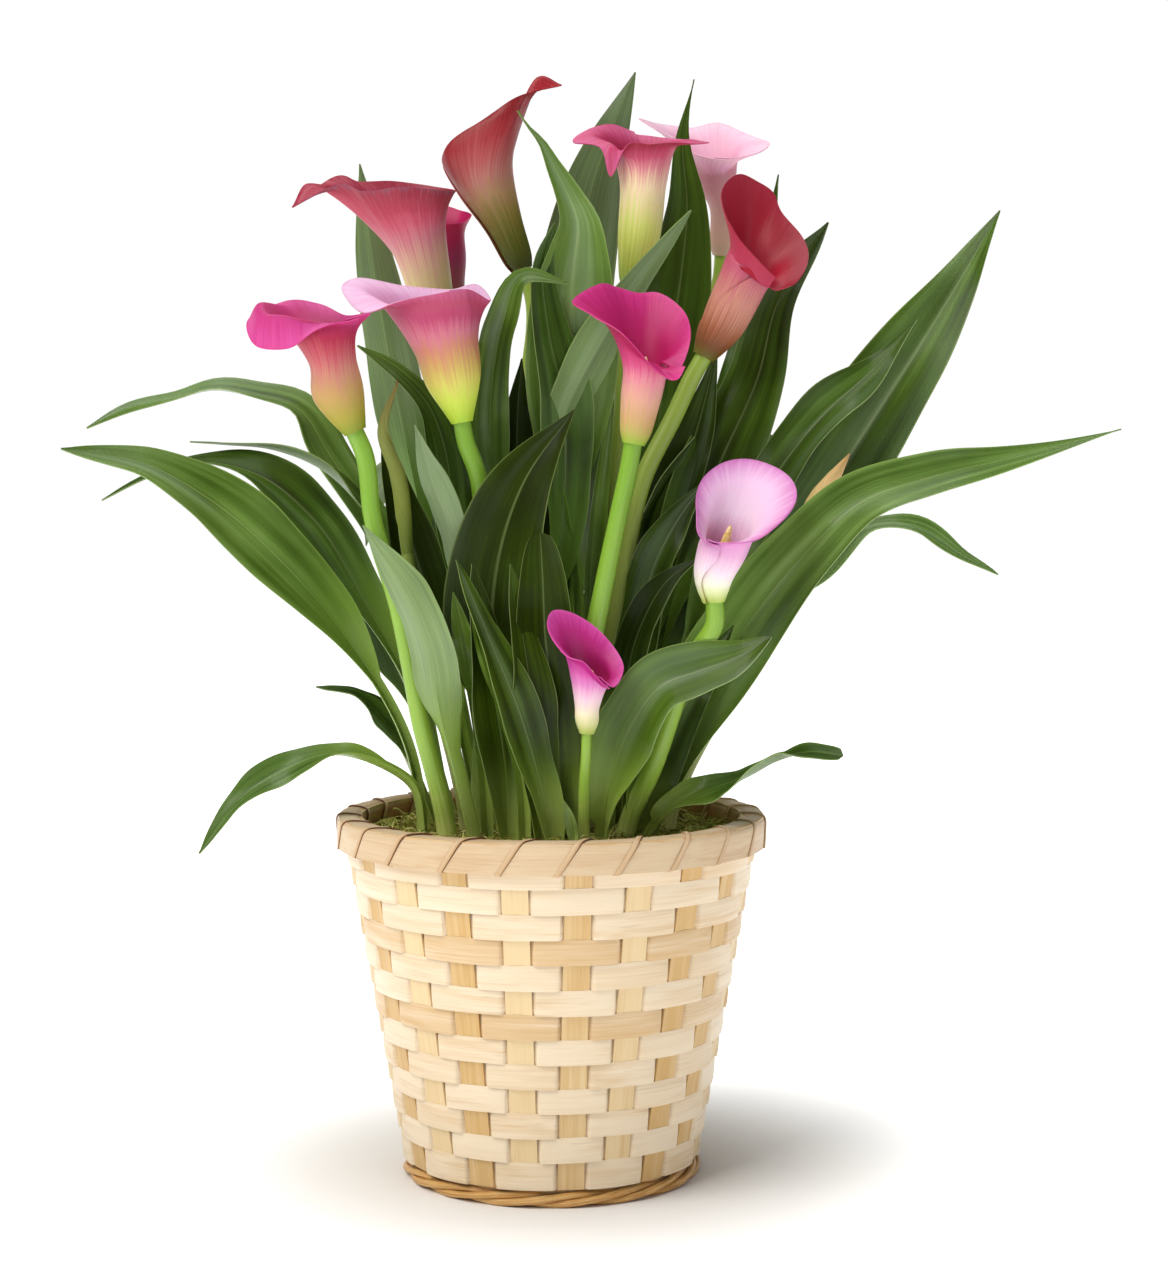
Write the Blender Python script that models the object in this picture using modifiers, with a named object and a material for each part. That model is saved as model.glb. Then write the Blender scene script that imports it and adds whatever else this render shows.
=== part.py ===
"""Calla lily growing in a woven splint basket.

A clump of tubers in a plastic liner pot sends up flowers, buds and lance-shaped leaves
through a layer of moss. The pot stands in a basket of flat splints: upright stakes that
are also the base, one weaver that runs round them from the foot to the rim, two hoops
with a lashing over them, and a twisted cord round the foot.

Lengths are in millimetres and become metres through MM. +Z is up, the front of the plant
faces -Y, and the origin is the middle of the basket's flat underside.
"""
import math
from dataclasses import dataclass

import bmesh
import bpy
import numpy as np

MM = 0.001
GAP = 0.3                     # clearance between pieces that touch
SIDES = 48                    # facets round every turned piece

# Basket wall: the stakes stand on a cone, and the weaver passes before and behind them.
STAKES = 21                   # an odd number, so that each row passes the other way
STAKE_WIDTH = 10.8
STAKE_TURN = 8.0              # angle from the front to the first stake, in degrees
STAKE_TOP = 151.0
SPLINT = 0.9                  # thickness of the base and the stakes
WALL_FOOT = 60.4              # radius of the stakes at the base
WALL_SLOPE = 0.18             # growth of that radius for each unit of height
# Radius and height of the stakes' middle where they turn up and go round the foot's cord.
STAKE_BENDS = ((55.0, 0.45), (56.6, 2.2), (56.9, 6.2))
WALL_START = 8.0              # height at which the stakes take up the wall's slope
ROWS = 13
ROW_PITCH = 10.5
ROWS_START = 9.0              # lower edge of the first row
WEAVER = 0.8                  # thickness of the weaver
WEAVER_SWING = 1.2            # how far the weaver's middle lies from the stakes' middle
WEAVER_REST = 0.6             # how far it stays flat beyond each stake
STEP_SHARE = 0.25             # share of a turn in which the weaver climbs one row
STEP_START = 55.0             # where that climb starts at the back, in degrees

# Rim: an inner and an outer hoop under a folded lashing.
RIM_TOP = 155.0
RIM_LOW = 141.5
RIM_RADIUS = 91.9
RIM_INSIDE = 79.5
LASHING = 0.8
OUTER_HOOP = (88.8, 90.8)     # inner and outer radius
INNER_HOOP = (80.6, 82.6)

# Twisted cord round the foot.
FOOT_STRANDS = 3
FOOT_RADIUS = 60.7
FOOT_HEIGHT = 3.25
STRAND_RADIUS = 1.25
STRAND_ORBIT = 1.65
STRAND_TWISTS = 5
STRAND_POINTS = 56

# Liner pot, soil and moss.
LINER_FOOT = 54.0
LINER_RADIUS = 78.0
LINER_TOP = 139.0
LINER_WALL = 1.2
MOSS_RADIUS = 78.8
MOSS_TOP = 143.0

# Plant.
SHOOT_FOOT = MOSS_TOP + GAP   # height at which leaves and stems leave the moss
LEAF_STATIONS = 11
EYE = (14.0, -1123.0, 309.0)  # where the flowers' x and z are read from
SPATHE_KNOTS = (0.0, 0.05, 0.2, 0.45, 0.78, 1.0)   # base, shoulder, belly, throat, crest, edge
SPATHE_ROWS = (0.0, 0.08, 0.22, 0.42, 0.62, 0.8, 1.0)
SPATHE_SIDES = (162.0, 180.0, 198.0)   # columns of each lapped side, from the middle
SPATHE_NEAR = 8.0             # smallest angle between one of them and the next column
SPATHE_SHOULDER = 3.5         # height of the shoulder above the base
SPATHE_SWELL = 0.7            # how much wider the shoulder is than the base
SPATHE_WALL = 0.8
SPATHE_LAP = 1.25             # how much farther in a whole turn brings the spathe
STEM_ROOM = 1.2               # between a stem and the foot of its spathe
SLOPE_STEP = 0.02             # step over which a spathe's slopes are measured
STEM_STATIONS = 9
STEM_STRAIGHT = 8.0           # length over which a stem already points as its flower does
SPADIX_FOOT = (4.0, 10.0)     # heights over which a stem narrows to its spadix
SPADIX_RADIUS = 2.6
SPADIX_TAPER = (1.0, 1.0, 0.7, 0.3)    # shares of that radius, up to the tip


@dataclass(frozen=True)
class Finish:
    """Colour and surface of one material."""

    name: str
    colour: tuple
    roughness: float
    metallic: float = 0.0


BAMBOO = Finish("pale_bamboo_splint", (0.80, 0.62, 0.42), 0.55)
WEFT = Finish("bleached_weaver", (0.87, 0.74, 0.56), 0.5)
CORD = Finish("golden_cord", (0.62, 0.38, 0.12), 0.45)
PLASTIC = Finish("liner_plastic", (0.05, 0.06, 0.05), 0.4)
SOIL = Finish("peat_soil", (0.06, 0.04, 0.03), 0.95)
MOSS = Finish("dry_moss", (0.16, 0.15, 0.05), 0.95)
LEAF = Finish("calla_leaf", (0.13, 0.24, 0.07), 0.42)
STALK = Finish("calla_stalk", (0.42, 0.58, 0.12), 0.4)
PINK = Finish("pink_spathe", (0.80, 0.30, 0.45), 0.42)
CRIMSON = Finish("crimson_spathe", (0.55, 0.05, 0.09), 0.42)
MAGENTA = Finish("magenta_spathe", (0.75, 0.03, 0.30), 0.42)
BLUSH = Finish("blush_spathe", (0.88, 0.66, 0.78), 0.42)


@dataclass(frozen=True)
class Leaf:
    """One leaf: a channelled stalk that widens into a lance-shaped blade.

    foot is (x, y) at the moss. path holds (x, z) points that the midrib passes above it.
    depth is (middle, tip), how far back those parts of the midrib lie. faces holds the
    directions in which the upper side looks, spread evenly from the foot to the tip.
    """

    foot: tuple
    path: tuple
    depth: tuple
    width: float
    faces: tuple
    stalk: float = 7.0        # width of the stalk
    start: float = 0.3        # share of the length at which the blade begins
    fold: float = 16.0        # rise of the blade's halves from the midrib, in degrees
    wave: float = 2.0         # swing of the margins
    waves: float = 2.0
    slim: float = 0.9         # the higher, the longer the drawn-out tip


@dataclass(frozen=True)
class Flower:
    """One flower: a stem that ends in the spadix, and the spathe wrapped round it.

    foot is (x, y) at the moss, path holds the stem's (x, z) points, the last of them the
    base of the spathe, and depth is (middle, base). belly and throat are rings of the
    tube as (x, z, depth, radius). Each row of limb is an angle, counted from the right by
    way of the back, and there the edge and the crest below it, each as (x, z, depth). These
    x and z are read in the plane y = 0 from the eye point, and the depths from the base.
    """

    foot: tuple
    path: tuple
    depth: tuple
    belly: tuple
    throat: tuple
    limb: tuple
    finish: Finish
    seam: float = 240.0       # angle at which the spathe's sides lap, in degrees
    twist: float = 20.0       # how far the seam has turned at the foot, in degrees
    stem: float = 3.8         # radius of the stem
    spadix: float = 40.0      # how far the spadix reaches from the base


@dataclass(frozen=True)
class Bud:
    """A closed flower bud on its stem, with the same path as a stem."""

    foot: tuple
    path: tuple
    depth: tuple
    length: float
    radius: float
    axis: tuple
    stem: float = 2.6


# The clump, front view: (x, z) paths above the moss and how far back each shoot lies.
LEAVES = (
    Leaf((-46, 30), ((-62, 222), (-78, 274), (-99, 308), (-111, 326), (-130, 332), (-148, 335), (-166,
         331), (-185, 327), (-204, 318)), (42, 42), 22.0, ((0.5, -0.7, 0.4), (0.3, -0.9, 0.4), (0.1,
         -0.3, 1.0), (0.1, -0.7, 0.8))),
    Leaf((-54, 0), ((-62, 185), (-84, 225), (-114, 262), (-144, 288), (-169, 302), (-206, 309)), (-12,
         -6), 36.0, ((0.4, -0.8, 0.4), (0.3, -0.9, 0.5), (0.1, -0.8, 0.7))),
    Leaf((-44, 2), ((-60, 204), (-81, 245), (-101, 278), (-126, 298), (-152, 303), (-172, 297), (-192,
         287)), (12, 10), 26.0, ((0.5, -0.7, 0.4), (0.3, -0.8, 0.6), (0.0, -0.1, 1.0))),
    Leaf((-54, -13), ((-59, 168), (-71, 176), (-91, 181), (-113, 174), (-132, 161), (-147, 140)), (-14,
         -24), 17.0, ((0.6, -0.2, 0.8), (0.0, -0.25, 1.0), (-0.4, -0.9, 0.5), (-0.5, -0.9, 0.4)),
         stalk=5.0),
    Leaf((-31, -40), ((-38, 175), (-45, 204), (-49, 228), (-59, 252), (-76, 278)), (-48, -44), 26.0,
         ((0.3, 0.9, 0.2), (0.2, 0.9, 0.2))),
    Leaf((-32, -20), ((-37, 263), (-45, 285), (-51, 302), (-56, 319)), (-16, -24), 17.0, ((0.8, 0.4,
         0.2), (0.3, 0.9, 0.1)), start=0.5),
    Leaf((-26, 10), ((-41, 259), (-43, 290), (-46, 310), (-53, 328), (-66, 342), (-83, 353)), (14, 16),
         20.0, ((0.4, -0.8, 0.3), (0.3, -0.8, 0.5)), start=0.4),
    Leaf((-30, 38), ((-54, 257), (-70, 331), (-78, 374), (-83, 407), (-87, 437)), (80, 82), 26.0,
         ((0.2, 0.9, 0.2), (0.2, 0.9, 0.1)), start=0.45),
    Leaf((-14, 2), ((-20, 259), (-25, 335), (-20, 362), (-12, 381), (8, 378)), (26, -6), 12.0, ((0.2,
         -0.9, 0.2), (-0.4, -0.9, 0.3)), stalk=5.0, start=0.5),
    Leaf((4, 22), ((7, 249), (7, 320), (8, 352), (8, 374), (10, 391), (11, 404), (6, 418), (1, 428),
         (-4, 438), (-10, 445), (-14, 451)), (18, 4), 42.0, ((0.0, -1.0, 0.1), (0.1, -1.0, 0.2), (0.5,
         -0.8, 0.1)), start=0.4, slim=1.8),
    Leaf((8, 38), ((5, 247), (6, 326), (8, 374), (18, 427), (37, 477)), (76, 76), 38.0, ((0.0, 1.0,
         0.1), (0.2, 0.9, 0.2)), start=0.45),
    Leaf((30, 30), ((41, 258), (50, 342), (57, 384), (60, 416), (58, 448), (63, 473)), (68, 70), 30.0,
         ((0.0, -1.0, 0.1), (-0.1, -1.0, 0.2)), start=0.4, slim=2.0),
    Leaf((33, 14), ((51, 238), (72, 300), (90, 341), (98, 372), (120, 407)), (34, 36), 34.0, ((-0.3,
         -0.9, 0.2), (-0.2, -1.0, 0.1), (-0.3, -0.9, 0.3)), start=0.35, wave=4.0),
    Leaf((44, 22), ((77, 223), (119, 289), (150, 336), (176, 378), (196, 413)), (44, 46), 40.0, ((-0.4,
         -0.8, 0.3), (-0.3, -0.9, 0.4), (-0.4, -0.8, 0.3)), start=0.3),
    Leaf((44, 4), ((60, 229), (91, 290), (116, 323), (140, 345), (156, 364)), (16, 14), 26.0, ((-0.4,
         -0.8, 0.3), (-0.3, -0.9, 0.5), (-0.3, -0.8, 0.5)), start=0.35, wave=4.0),
    Leaf((42, -16), ((59, 192), (81, 234), (106, 266), (127, 286), (156, 297), (185, 304), (210, 310),
         (235, 317)), (-32, -30), 38.0, ((-0.4, -0.8, 0.4), (-0.3, -0.9, 0.5), (-0.2, -0.9, 0.6),
         (-0.1, -0.9, 0.3)), start=0.2),
    Leaf((50, 12), ((81, 219), (119, 259), (136, 275), (157, 275), (177, 263), (192, 255)), (12, 14),
         18.0, ((-0.5, -0.5, 0.5), (-0.1, -0.3, 1.0), (0.1, -0.3, 1.0)), start=0.5),
    Leaf((22, -38), ((29, 180), (41, 210), (58, 226), (77, 232), (88, 236)), (-52, -52), 25.0, ((-0.4,
         -0.8, 0.3), (-0.3, -0.9, 0.5)), start=0.15),
    Leaf((37, -33), ((47, 158), (66, 169), (82, 176), (92, 182), (106, 186), (119, 185)), (-44, -56),
         12.0, ((-0.3, -0.8, 0.6), (-0.1, -0.7, 0.9), (0.1, -0.1, 1.0)), stalk=5.0, start=0.15),
    Leaf((16, 12), ((12, 250), (6, 323), (20, 352), (38, 380), (59, 409)), (2, 0), 20.0, ((0.0, 1.0,
         0.1), (-0.5, 0.8, 0.2)), start=0.5),
    Leaf((-9, -22), ((-13, 192), (-24, 232), (-21, 266), (-11, 295), (10, 325)), (-26, -22), 38.0,
         ((0.1, -1.0, 0.1), (0.0, -1.0, 0.2), (-0.3, -0.9, 0.2)), start=0.2),
    Leaf((5, -29), ((3, 194), (-2, 233), (-3, 257), (-4, 275)), (-40, -38), 24.0, ((0.0, -1.0, 0.1),
         (0.0, -1.0, 0.2)), start=0.25),
    Leaf((-20, 46), ((-35, 220), (-52, 275), (-68, 300), (-82, 292), (-92, 262)), (90, 165), 30.0,
         ((0.3, -0.9, 0.3), (0.2, -0.5, 0.9), (-0.2, 0.3, 1.0))),
    Leaf((-1, 52), ((4, 230), (8, 310), (10, 350), (12, 362), (14, 350)), (80, 170), 34.0, ((0.0, -0.9,
         0.3), (0.0, -0.4, 0.9), (0.0, 0.2, 1.0))),
    Leaf((38, 44), ((60, 225), (85, 285), (104, 312), (118, 300), (126, 270)), (95, 150), 30.0, ((-0.3,
         -0.9, 0.3), (-0.2, -0.5, 0.9), (0.2, 0.3, 1.0))),
)

FLOWERS = (
    Flower((-43, -24), ((-54, 198), (-62, 242), (-73, 281), (-80, 316)), (-34, -34),
           (-89.5, 331, -1, 9.6), (-92, 347, -3, 9.6),
           ((0, -76, 366, 0, -81, 360, 0), (45, -86, 365, 9, -86, 361, 8), (90, -98, 370, 14, -96, 364, 11),
            (135, -113, 371, 14, -108, 367, 12), (180, -128, 361, 2, -122, 370, 1),
            (205, -124, 352, -7, -121, 366, -8), (230, -112, 351, -13, -112, 365, -12),
            (270, -98, 360, -14, -96, 362, -11), (315, -85, 363, -9, -85, 361, -7)),
           PINK, seam=320.0),
    Flower((-24, -12), ((-27, 226), (-28, 270), (-31, 300), (-37, 320)), (-12, -12),
           (-40.5, 336, 0, 10.8), (-44, 353, -1, 13.6),
           ((0, -25, 371, 0, -28, 367, 0), (45, -31, 378, 9, -33, 370, 8), (90, -43, 376, 15, -44, 369, 12),
            (135, -63, 377.5, 15, -58, 371, 12), (165, -82, 381, 6, -72, 375, 5), (190, -88, 376, -3, -76, 374, -2),
            (212, -80, 366.5, -10, -69, 370, -8), (235, -66, 370.5, -15, -60, 368, -12),
            (270, -50, 374, -17, -48, 368, -14), (315, -35, 376, -12, -34, 369, -10)),
           BLUSH, seam=300.0),
    Flower((-19, 26), ((-27, 238), (-40, 310), (-47, 345)), (34, 44),
           (-49.5, 368, 0, 8.2), (-55.5, 394, -1, 11.6),
           ((0, -39.5, 417, 0, -43.5, 411, 0), (45, -47, 418.5, 10, -49, 411, 8), (90, -62, 420.5, 14, -60, 413, 11),
            (135, -80, 421, 9, -74, 414, 7), (165, -94, 421.5, 3, -86, 418, 2), (180, -109, 410, -1, -101, 420, 0),
            (195, -93, 418.5, -4, -85, 414.5, -3), (225, -79, 417, -9, -74, 409, -8),
            (270, -62, 419, -14, -61, 411, -11), (315, -47, 417.5, -10, -48, 410, -8)),
           CRIMSON, seam=335.0),
    Flower((-3, 30), ((-9, 238), (-11, 331), (-13, 388)), (40, 56),
           (-19, 402, 0, 7.6), (-27, 420, 0, 12.4),
           ((0, -8, 457, 2, -14, 440, 2), (45, -16, 450, 8, -17, 436, 8), (90, -26, 440, 13, -27, 430, 12),
            (135, -35, 430, 14, -38, 429, 12), (170, -40, 427, 10, -45.5, 429, 4), (200, -40, 438, 2, -44.5, 434, -5),
            (235, -33, 444, -6, -37.5, 440, -9), (270, -22, 451, -9, -24, 446, -11),
            (300, -12, 457, -10, -15, 449, -10), (330, 4.5, 461, -4, -6, 463, -5), (345, -5, 461, -1, -11, 450, -2)),
           CRIMSON, seam=60.0),
    Flower((12, 28), ((20, 238), (31, 331), (34, 380)), (32, 38),
           (36.5, 396, 0, 8.6), (38.5, 421, 0, 10.0),
           ((0, 66.5, 437.5, -2, 55, 438, -1), (45, 50, 439, 9, 48, 436, 8), (90, 38, 440.5, 14, 39, 436, 11),
            (135, 24, 444.5, 10, 28, 438, 8), (165, 15, 441.5, 4, 22, 440, 3), (190, 9.5, 437, -3, 19, 439, -2),
            (212, 21, 434.5, -8, 26, 436, -7), (232, 25.5, 423, -11, 26, 435, -11), (248, 31, 435, -13, 31, 433, -11),
            (275, 42, 436.5, -14, 41, 433, -12), (320, 58, 437, -8, 51, 435, -8)),
           PINK, seam=110.0),
    Flower((24, 44), ((38, 246), (66, 354), (78, 398)), (92, 110),
           (73.5, 408, -1, 6.4), (70, 421, -4, 9.0),
           ((0, 92, 436.5, -2, 82, 435, -2), (45, 81, 441, 9, 77, 437, 7), (75, 71, 445, 14, 70, 439, 11),
            (110, 59, 443.5, 15, 61, 438, 11), (150, 46, 445, 9, 52, 440, 6), (180, 37, 447, -2, 48, 440, -3),
            (215, 50, 440, -13, 55, 435, -10), (270, 67, 431, -22, 67, 427, -18), (315, 83, 431, -15, 77, 428, -13)),
           BLUSH, seam=285.0, spadix=40.0),
    Flower((19, 0), ((32, 265), (40, 298), (52, 322), (65, 348)), (8, 12),
           (72, 362, 0, 8.6), (82.5, 384, -1, 10.6),
           ((0, 109, 387, -4, 101, 386, -4), (40, 103, 402, 7, 97, 397, 6), (65, 95, 412, 12, 91, 404, 9),
            (95, 86, 422, 14, 85, 409, 11), (130, 76, 425, 10, 78, 411, 8), (165, 71, 415, 2, 74.5, 405, 2),
            (200, 72, 404, -6, 75, 396, -5), (240, 80, 391, -13, 79, 386, -11),
            (280, 93, 381, -16, 90, 380, -13), (320, 102, 376.5, -12, 97, 379, -10)),
           CRIMSON, seam=95.0),
    Flower((6, -13), ((17, 227), (21, 247), (28, 281), (34, 311)), (-34, -35),
           (37.5, 329, 0, 7.4), (39, 345, -1, 9.2),
           ((0, 59.5, 356, -3, 53, 355, -2), (40, 55, 367, 8, 50, 362, 6), (75, 46, 373.5, 14, 44, 366, 10),
            (110, 34, 376, 15, 36, 368, 11), (145, 23, 378, 9, 28, 370, 7), (180, 9, 371, 0, 21, 369, 0),
            (215, 21, 364.5, -11, 26, 363, -9), (260, 34, 353, -18, 35, 353, -14), (300, 47, 346, -15, 44, 349, -12),
            (330, 55, 347.5, -9, 50, 350, -8)),
           MAGENTA, seam=300.0, spadix=36.0),
    Flower((31, -28), ((44, 189), (55, 226), (66, 248)), (-38, -48),
           (69, 254, -1, 7.2), (72.5, 265, -4, 9.4),
           ((0, 104, 287, -8, 91, 279, -7), (40, 100, 298, 2, 90, 290, 1), (75, 86, 304.5, 8, 82, 293, 5),
            (105, 74, 303.5, 8, 75, 292, 5), (140, 64, 296, 2, 69, 286, 1), (180, 62, 282, -8, 66, 275, -5),
            (225, 65, 270.5, -17, 67, 269.5, -13), (270, 76, 268.5, -24, 75, 268, -18), (315, 92, 273, -21, 85, 271.5, -15)),
           BLUSH, seam=240.0, twist=-35.0, spadix=31.0),
    Flower((14, -43), ((14, 171), (15, 194)), (-52, -55),
           (15.3, 197, 0, 5.0), (16.8, 209, -1, 7.4),
           ((0, 31, 215.5, -3, 26.5, 212, -3), (40, 28, 223, 4, 24, 219, 3), (75, 20, 232.5, 7, 18, 225, 5),
            (110, 10, 239, 7, 11, 229, 5), (145, 1, 240.5, 3, 6, 229, 2), (180, -1.5, 234, -3, 5, 225, -3),
            (215, 5, 223.5, -9, 8, 221, -7), (265, 15, 217.5, -13, 14.5, 216, -10), (315, 26, 207.5, -9, 22.5, 208.5, -7)),
           MAGENTA, seam=95.0, stem=2.6, spadix=26.0),
    Flower((-10, 44), ((-26, 247), (-39, 321), (-44, 352)), (60, 76),
           (-43, 372, 0, 7.0), (-43.5, 388, 0, 8.2),
           ((0, -33, 407, 0, -36, 401, 0), (45, -38, 409, 8, -39, 403, 6), (90, -46, 411, 11, -46, 404, 9),
            (135, -54, 409, 8, -52, 403, 6), (180, -58, 404, 0, -54, 400, 0), (225, -52, 402, -7, -51, 398, -6),
            (270, -44, 403, -10, -44, 398, -8), (315, -37, 404, -7, -38, 400, -6)),
           MAGENTA),
)

BUDS = (
    Bud((-36, -10), ((-47, 201), (-55, 236), (-60, 262)), (-10, -8), 76.0, 4.0, (-0.05, 0.0, 1.0)),
    Bud((50, -6), ((80, 215), (102, 262), (115, 290)), (0, 0), 40.0, 6.5, (0.55, 0.0, 0.83)),
)


def smooth(t):
    """Ease from 0 to 1 with level ends."""
    t = np.clip(t, 0.0, 1.0)
    return t * t * (3.0 - 2.0 * t)


def unit(v):
    """Rows of v at length one."""
    return v / np.linalg.norm(v, axis=-1, keepdims=True)


def shown(x, z, y):
    """Point at depth y that the eye point sees where it sees (x, 0, z)."""
    eye = np.array(EYE)
    return eye + (np.array([x, 0.0, z]) - eye) * (1.0 - y / EYE[1])


def through(knots, points, at):
    """Read a smooth curve through points, whose slope at each is the mean beside it.

    points are (knots, ..., 3); where they form a grid, at follows its second last axis.
    """
    slopes = np.gradient(points, knots, axis=0)
    k = np.clip(np.searchsorted(knots, at, side="right") - 1, 0, len(knots) - 2)
    span = (knots[k + 1] - knots[k])[:, None]
    t = (at - knots[k])[:, None] / span
    if points.ndim > 2:
        row = np.arange(len(at))
        start, end, start_slope, end_slope = (array[index, :, row].swapaxes(0, 1)
                                              for array in (points, slopes) for index in (k, k + 1))
    else:
        start, end, start_slope, end_slope = (array[index] for array in (points, slopes)
                                              for index in (k, k + 1))
    return ((1 + 2 * t) * (1 - t) ** 2 * start + t * (1 - t) ** 2 * span * start_slope
            + t * t * (3 - 2 * t) * end + t * t * (t - 1) * span * end_slope)


def follow(points, count):
    """Sample a smooth curve through points at count even steps of its length."""
    points = np.asarray(points, float)
    knots = np.concatenate(([0.0], np.cumsum(np.linalg.norm(np.diff(points, axis=0), axis=1))))
    curve = through(knots, points, np.linspace(0.0, knots[-1], 241))
    run = np.concatenate(([0.0], np.cumsum(np.linalg.norm(np.diff(curve, axis=0), axis=1))))
    even = np.linspace(0.0, run[-1], count)
    return np.stack([np.interp(even, run, curve[:, i]) for i in range(3)], axis=1)


def shoot_points(foot, path, depth):
    """Give a shoot's elevation points their depth: a parabola from the foot to the end."""
    line = np.array([(foot[0], SHOOT_FOOT)] + list(path), float)
    run = np.concatenate(([0.0], np.cumsum(np.linalg.norm(np.diff(line, axis=0), axis=1))))
    s = run / run[-1]
    y = (1 - s) ** 2 * foot[1] + 2 * s * (1 - s) * depth[0] + s * s * depth[1]
    return np.stack([line[:, 0], y, line[:, 1]], axis=1)


def principled(finish):
    """Make or fetch the material of a finish."""
    material = bpy.data.materials.get(finish.name)
    if material is None:
        material = bpy.data.materials.new(finish.name)
        material.use_nodes = True
        shader = material.node_tree.nodes["Principled BSDF"]
        shader.inputs["Base Color"].default_value = (*finish.colour, 1.0)
        shader.inputs["Roughness"].default_value = finish.roughness
        shader.inputs["Metallic"].default_value = finish.metallic
        material.diffuse_color = (*finish.colour, 1.0)
    return material


def add(collection, name, data, finish):
    """Put mesh or curve data in the collection as a named object with its finish."""
    item = bpy.data.objects.new(name, data)
    data.materials.append(principled(finish))
    collection.objects.link(item)
    return item


def mesh_from(name, vertices, faces, smooth_angle=40.0):
    """Make a mesh in metres from millimetre vertices, faces outward, shaded smooth."""
    mesh = bpy.data.meshes.new(name)
    mesh.from_pydata((np.asarray(vertices) * MM).tolist(), [], faces)
    work = bmesh.new()
    work.from_mesh(mesh)
    bmesh.ops.recalc_face_normals(work, faces=work.faces)
    work.to_mesh(mesh)
    work.free()
    mesh.shade_smooth()
    mesh.set_sharp_from_angle(angle=math.radians(smooth_angle))
    return mesh


def skin(rings, halved=False):
    """Faces of a tube between rings of equal count, with both ends capped.

    Where halved is set, each side is cut into triangles, the same way on either side of
    a thin section, so that its two faces stay parallel.
    """
    total, count = rings.shape[:2]
    faces = [tuple(range(count))[::-1], tuple(range((total - 1) * count, total * count))]
    for i in range(total - 1):
        a, b = i * count, (i + 1) * count
        for j in range(count):
            k = (j + 1) % count
            if not halved:
                faces.append((a + j, a + k, b + k, b + j))
            elif j % 2 == 0:
                faces.extend([(a + j, a + k, b + k), (a + j, b + k, b + j)])
            else:
                faces.extend([(a + j, a + k, b + j), (a + k, b + k, b + j)])
    return faces


def turned(collection, name, profile, finish):
    """Turn a profile of (radius, height) points about +Z; it runs down its outer side."""
    mesh = bpy.data.meshes.new(name)
    points = [(r * MM, 0.0, z * MM) for r, z in profile]
    closed = profile[0][0] > 0.0
    edges = [(i, i + 1) for i in range(len(points) - 1)]
    if closed:
        edges.append((len(points) - 1, 0))
    mesh.from_pydata(points, edges, [])
    item = add(collection, name, mesh, finish)
    screw = item.modifiers.new("turn", "SCREW")
    screw.steps = SIDES
    screw.render_steps = SIDES
    screw.use_merge_vertices = True
    screw.merge_threshold = 0.00001
    screw.use_smooth_shade = True
    return item


def tube(collection, name, points, radii, finish, cyclic=False):
    """Run a round rod through points; radii gives its radius at each of them."""
    curve = bpy.data.curves.new(name, "CURVE")
    curve.dimensions = "3D"
    curve.bevel_depth = MM
    curve.bevel_resolution = 1
    curve.use_fill_caps = not cyclic
    spline = curve.splines.new("POLY")
    spline.points.add(len(points) - 1)
    for knot, place, radius in zip(spline.points, points, radii):
        knot.co = (*(float(c) * MM for c in place), 1.0)
        knot.radius = float(radius)
    spline.use_cyclic_u = cyclic
    spline.use_smooth = True
    return add(collection, name, curve, finish)


def wall_radius(z):
    """Radius of the middle of the stakes at a height."""
    return WALL_FOOT + WALL_SLOPE * z


def stake_angle(k):
    """Angle of stake k round +Z, counted from the front."""
    return math.radians(STAKE_TURN - 90.0) + 2.0 * math.pi * np.asarray(k) / STAKES


def splint_frame(collection):
    """Flat base whose 21 tongues turn up as the stakes of the wall, in one sheet."""
    half = STAKE_WIDTH / 2.0
    levels = [*STAKE_BENDS, (wall_radius(WALL_START), WALL_START),
              (wall_radius(STAKE_TOP), STAKE_TOP)]
    vertices = [(0.0, 0.0, SPLINT / 2.0)]
    for k in range(STAKES):
        angle = stake_angle(k)
        out = np.array([math.cos(angle), math.sin(angle)])
        side = np.array([-out[1], out[0]])
        for radius, z in levels:
            for sign in (-1.0, 1.0):
                vertices.append((*(out * radius + side * sign * half), z))
    faces = []
    per_stake = 2 * len(levels)
    for k in range(STAKES):
        first = 1 + k * per_stake
        following = 1 + (k + 1) % STAKES * per_stake
        faces.append((0, first, first + 1))
        faces.append((0, first + 1, following))
        for level in range(len(levels) - 1):
            a = first + 2 * level
            faces.append((a, a + 2, a + 3, a + 1))
    mesh = mesh_from("splint_frame", vertices, faces, 30.0)
    item = add(collection, "splint_frame", mesh, BAMBOO)
    wall = item.modifiers.new("splint", "SOLIDIFY")
    wall.thickness = SPLINT * MM
    wall.offset = 0.0
    wall.use_even_offset = True
    return item


def row_climb(turn):
    """Rows that the weaver's lower edge has climbed after a number of turns."""
    whole = np.floor(turn)
    climbed = whole - 1.0 + smooth((turn - whole) / STEP_SHARE)
    return np.clip(np.where(turn < 1.0, 0.0, climbed), 0.0, ROWS)


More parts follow.
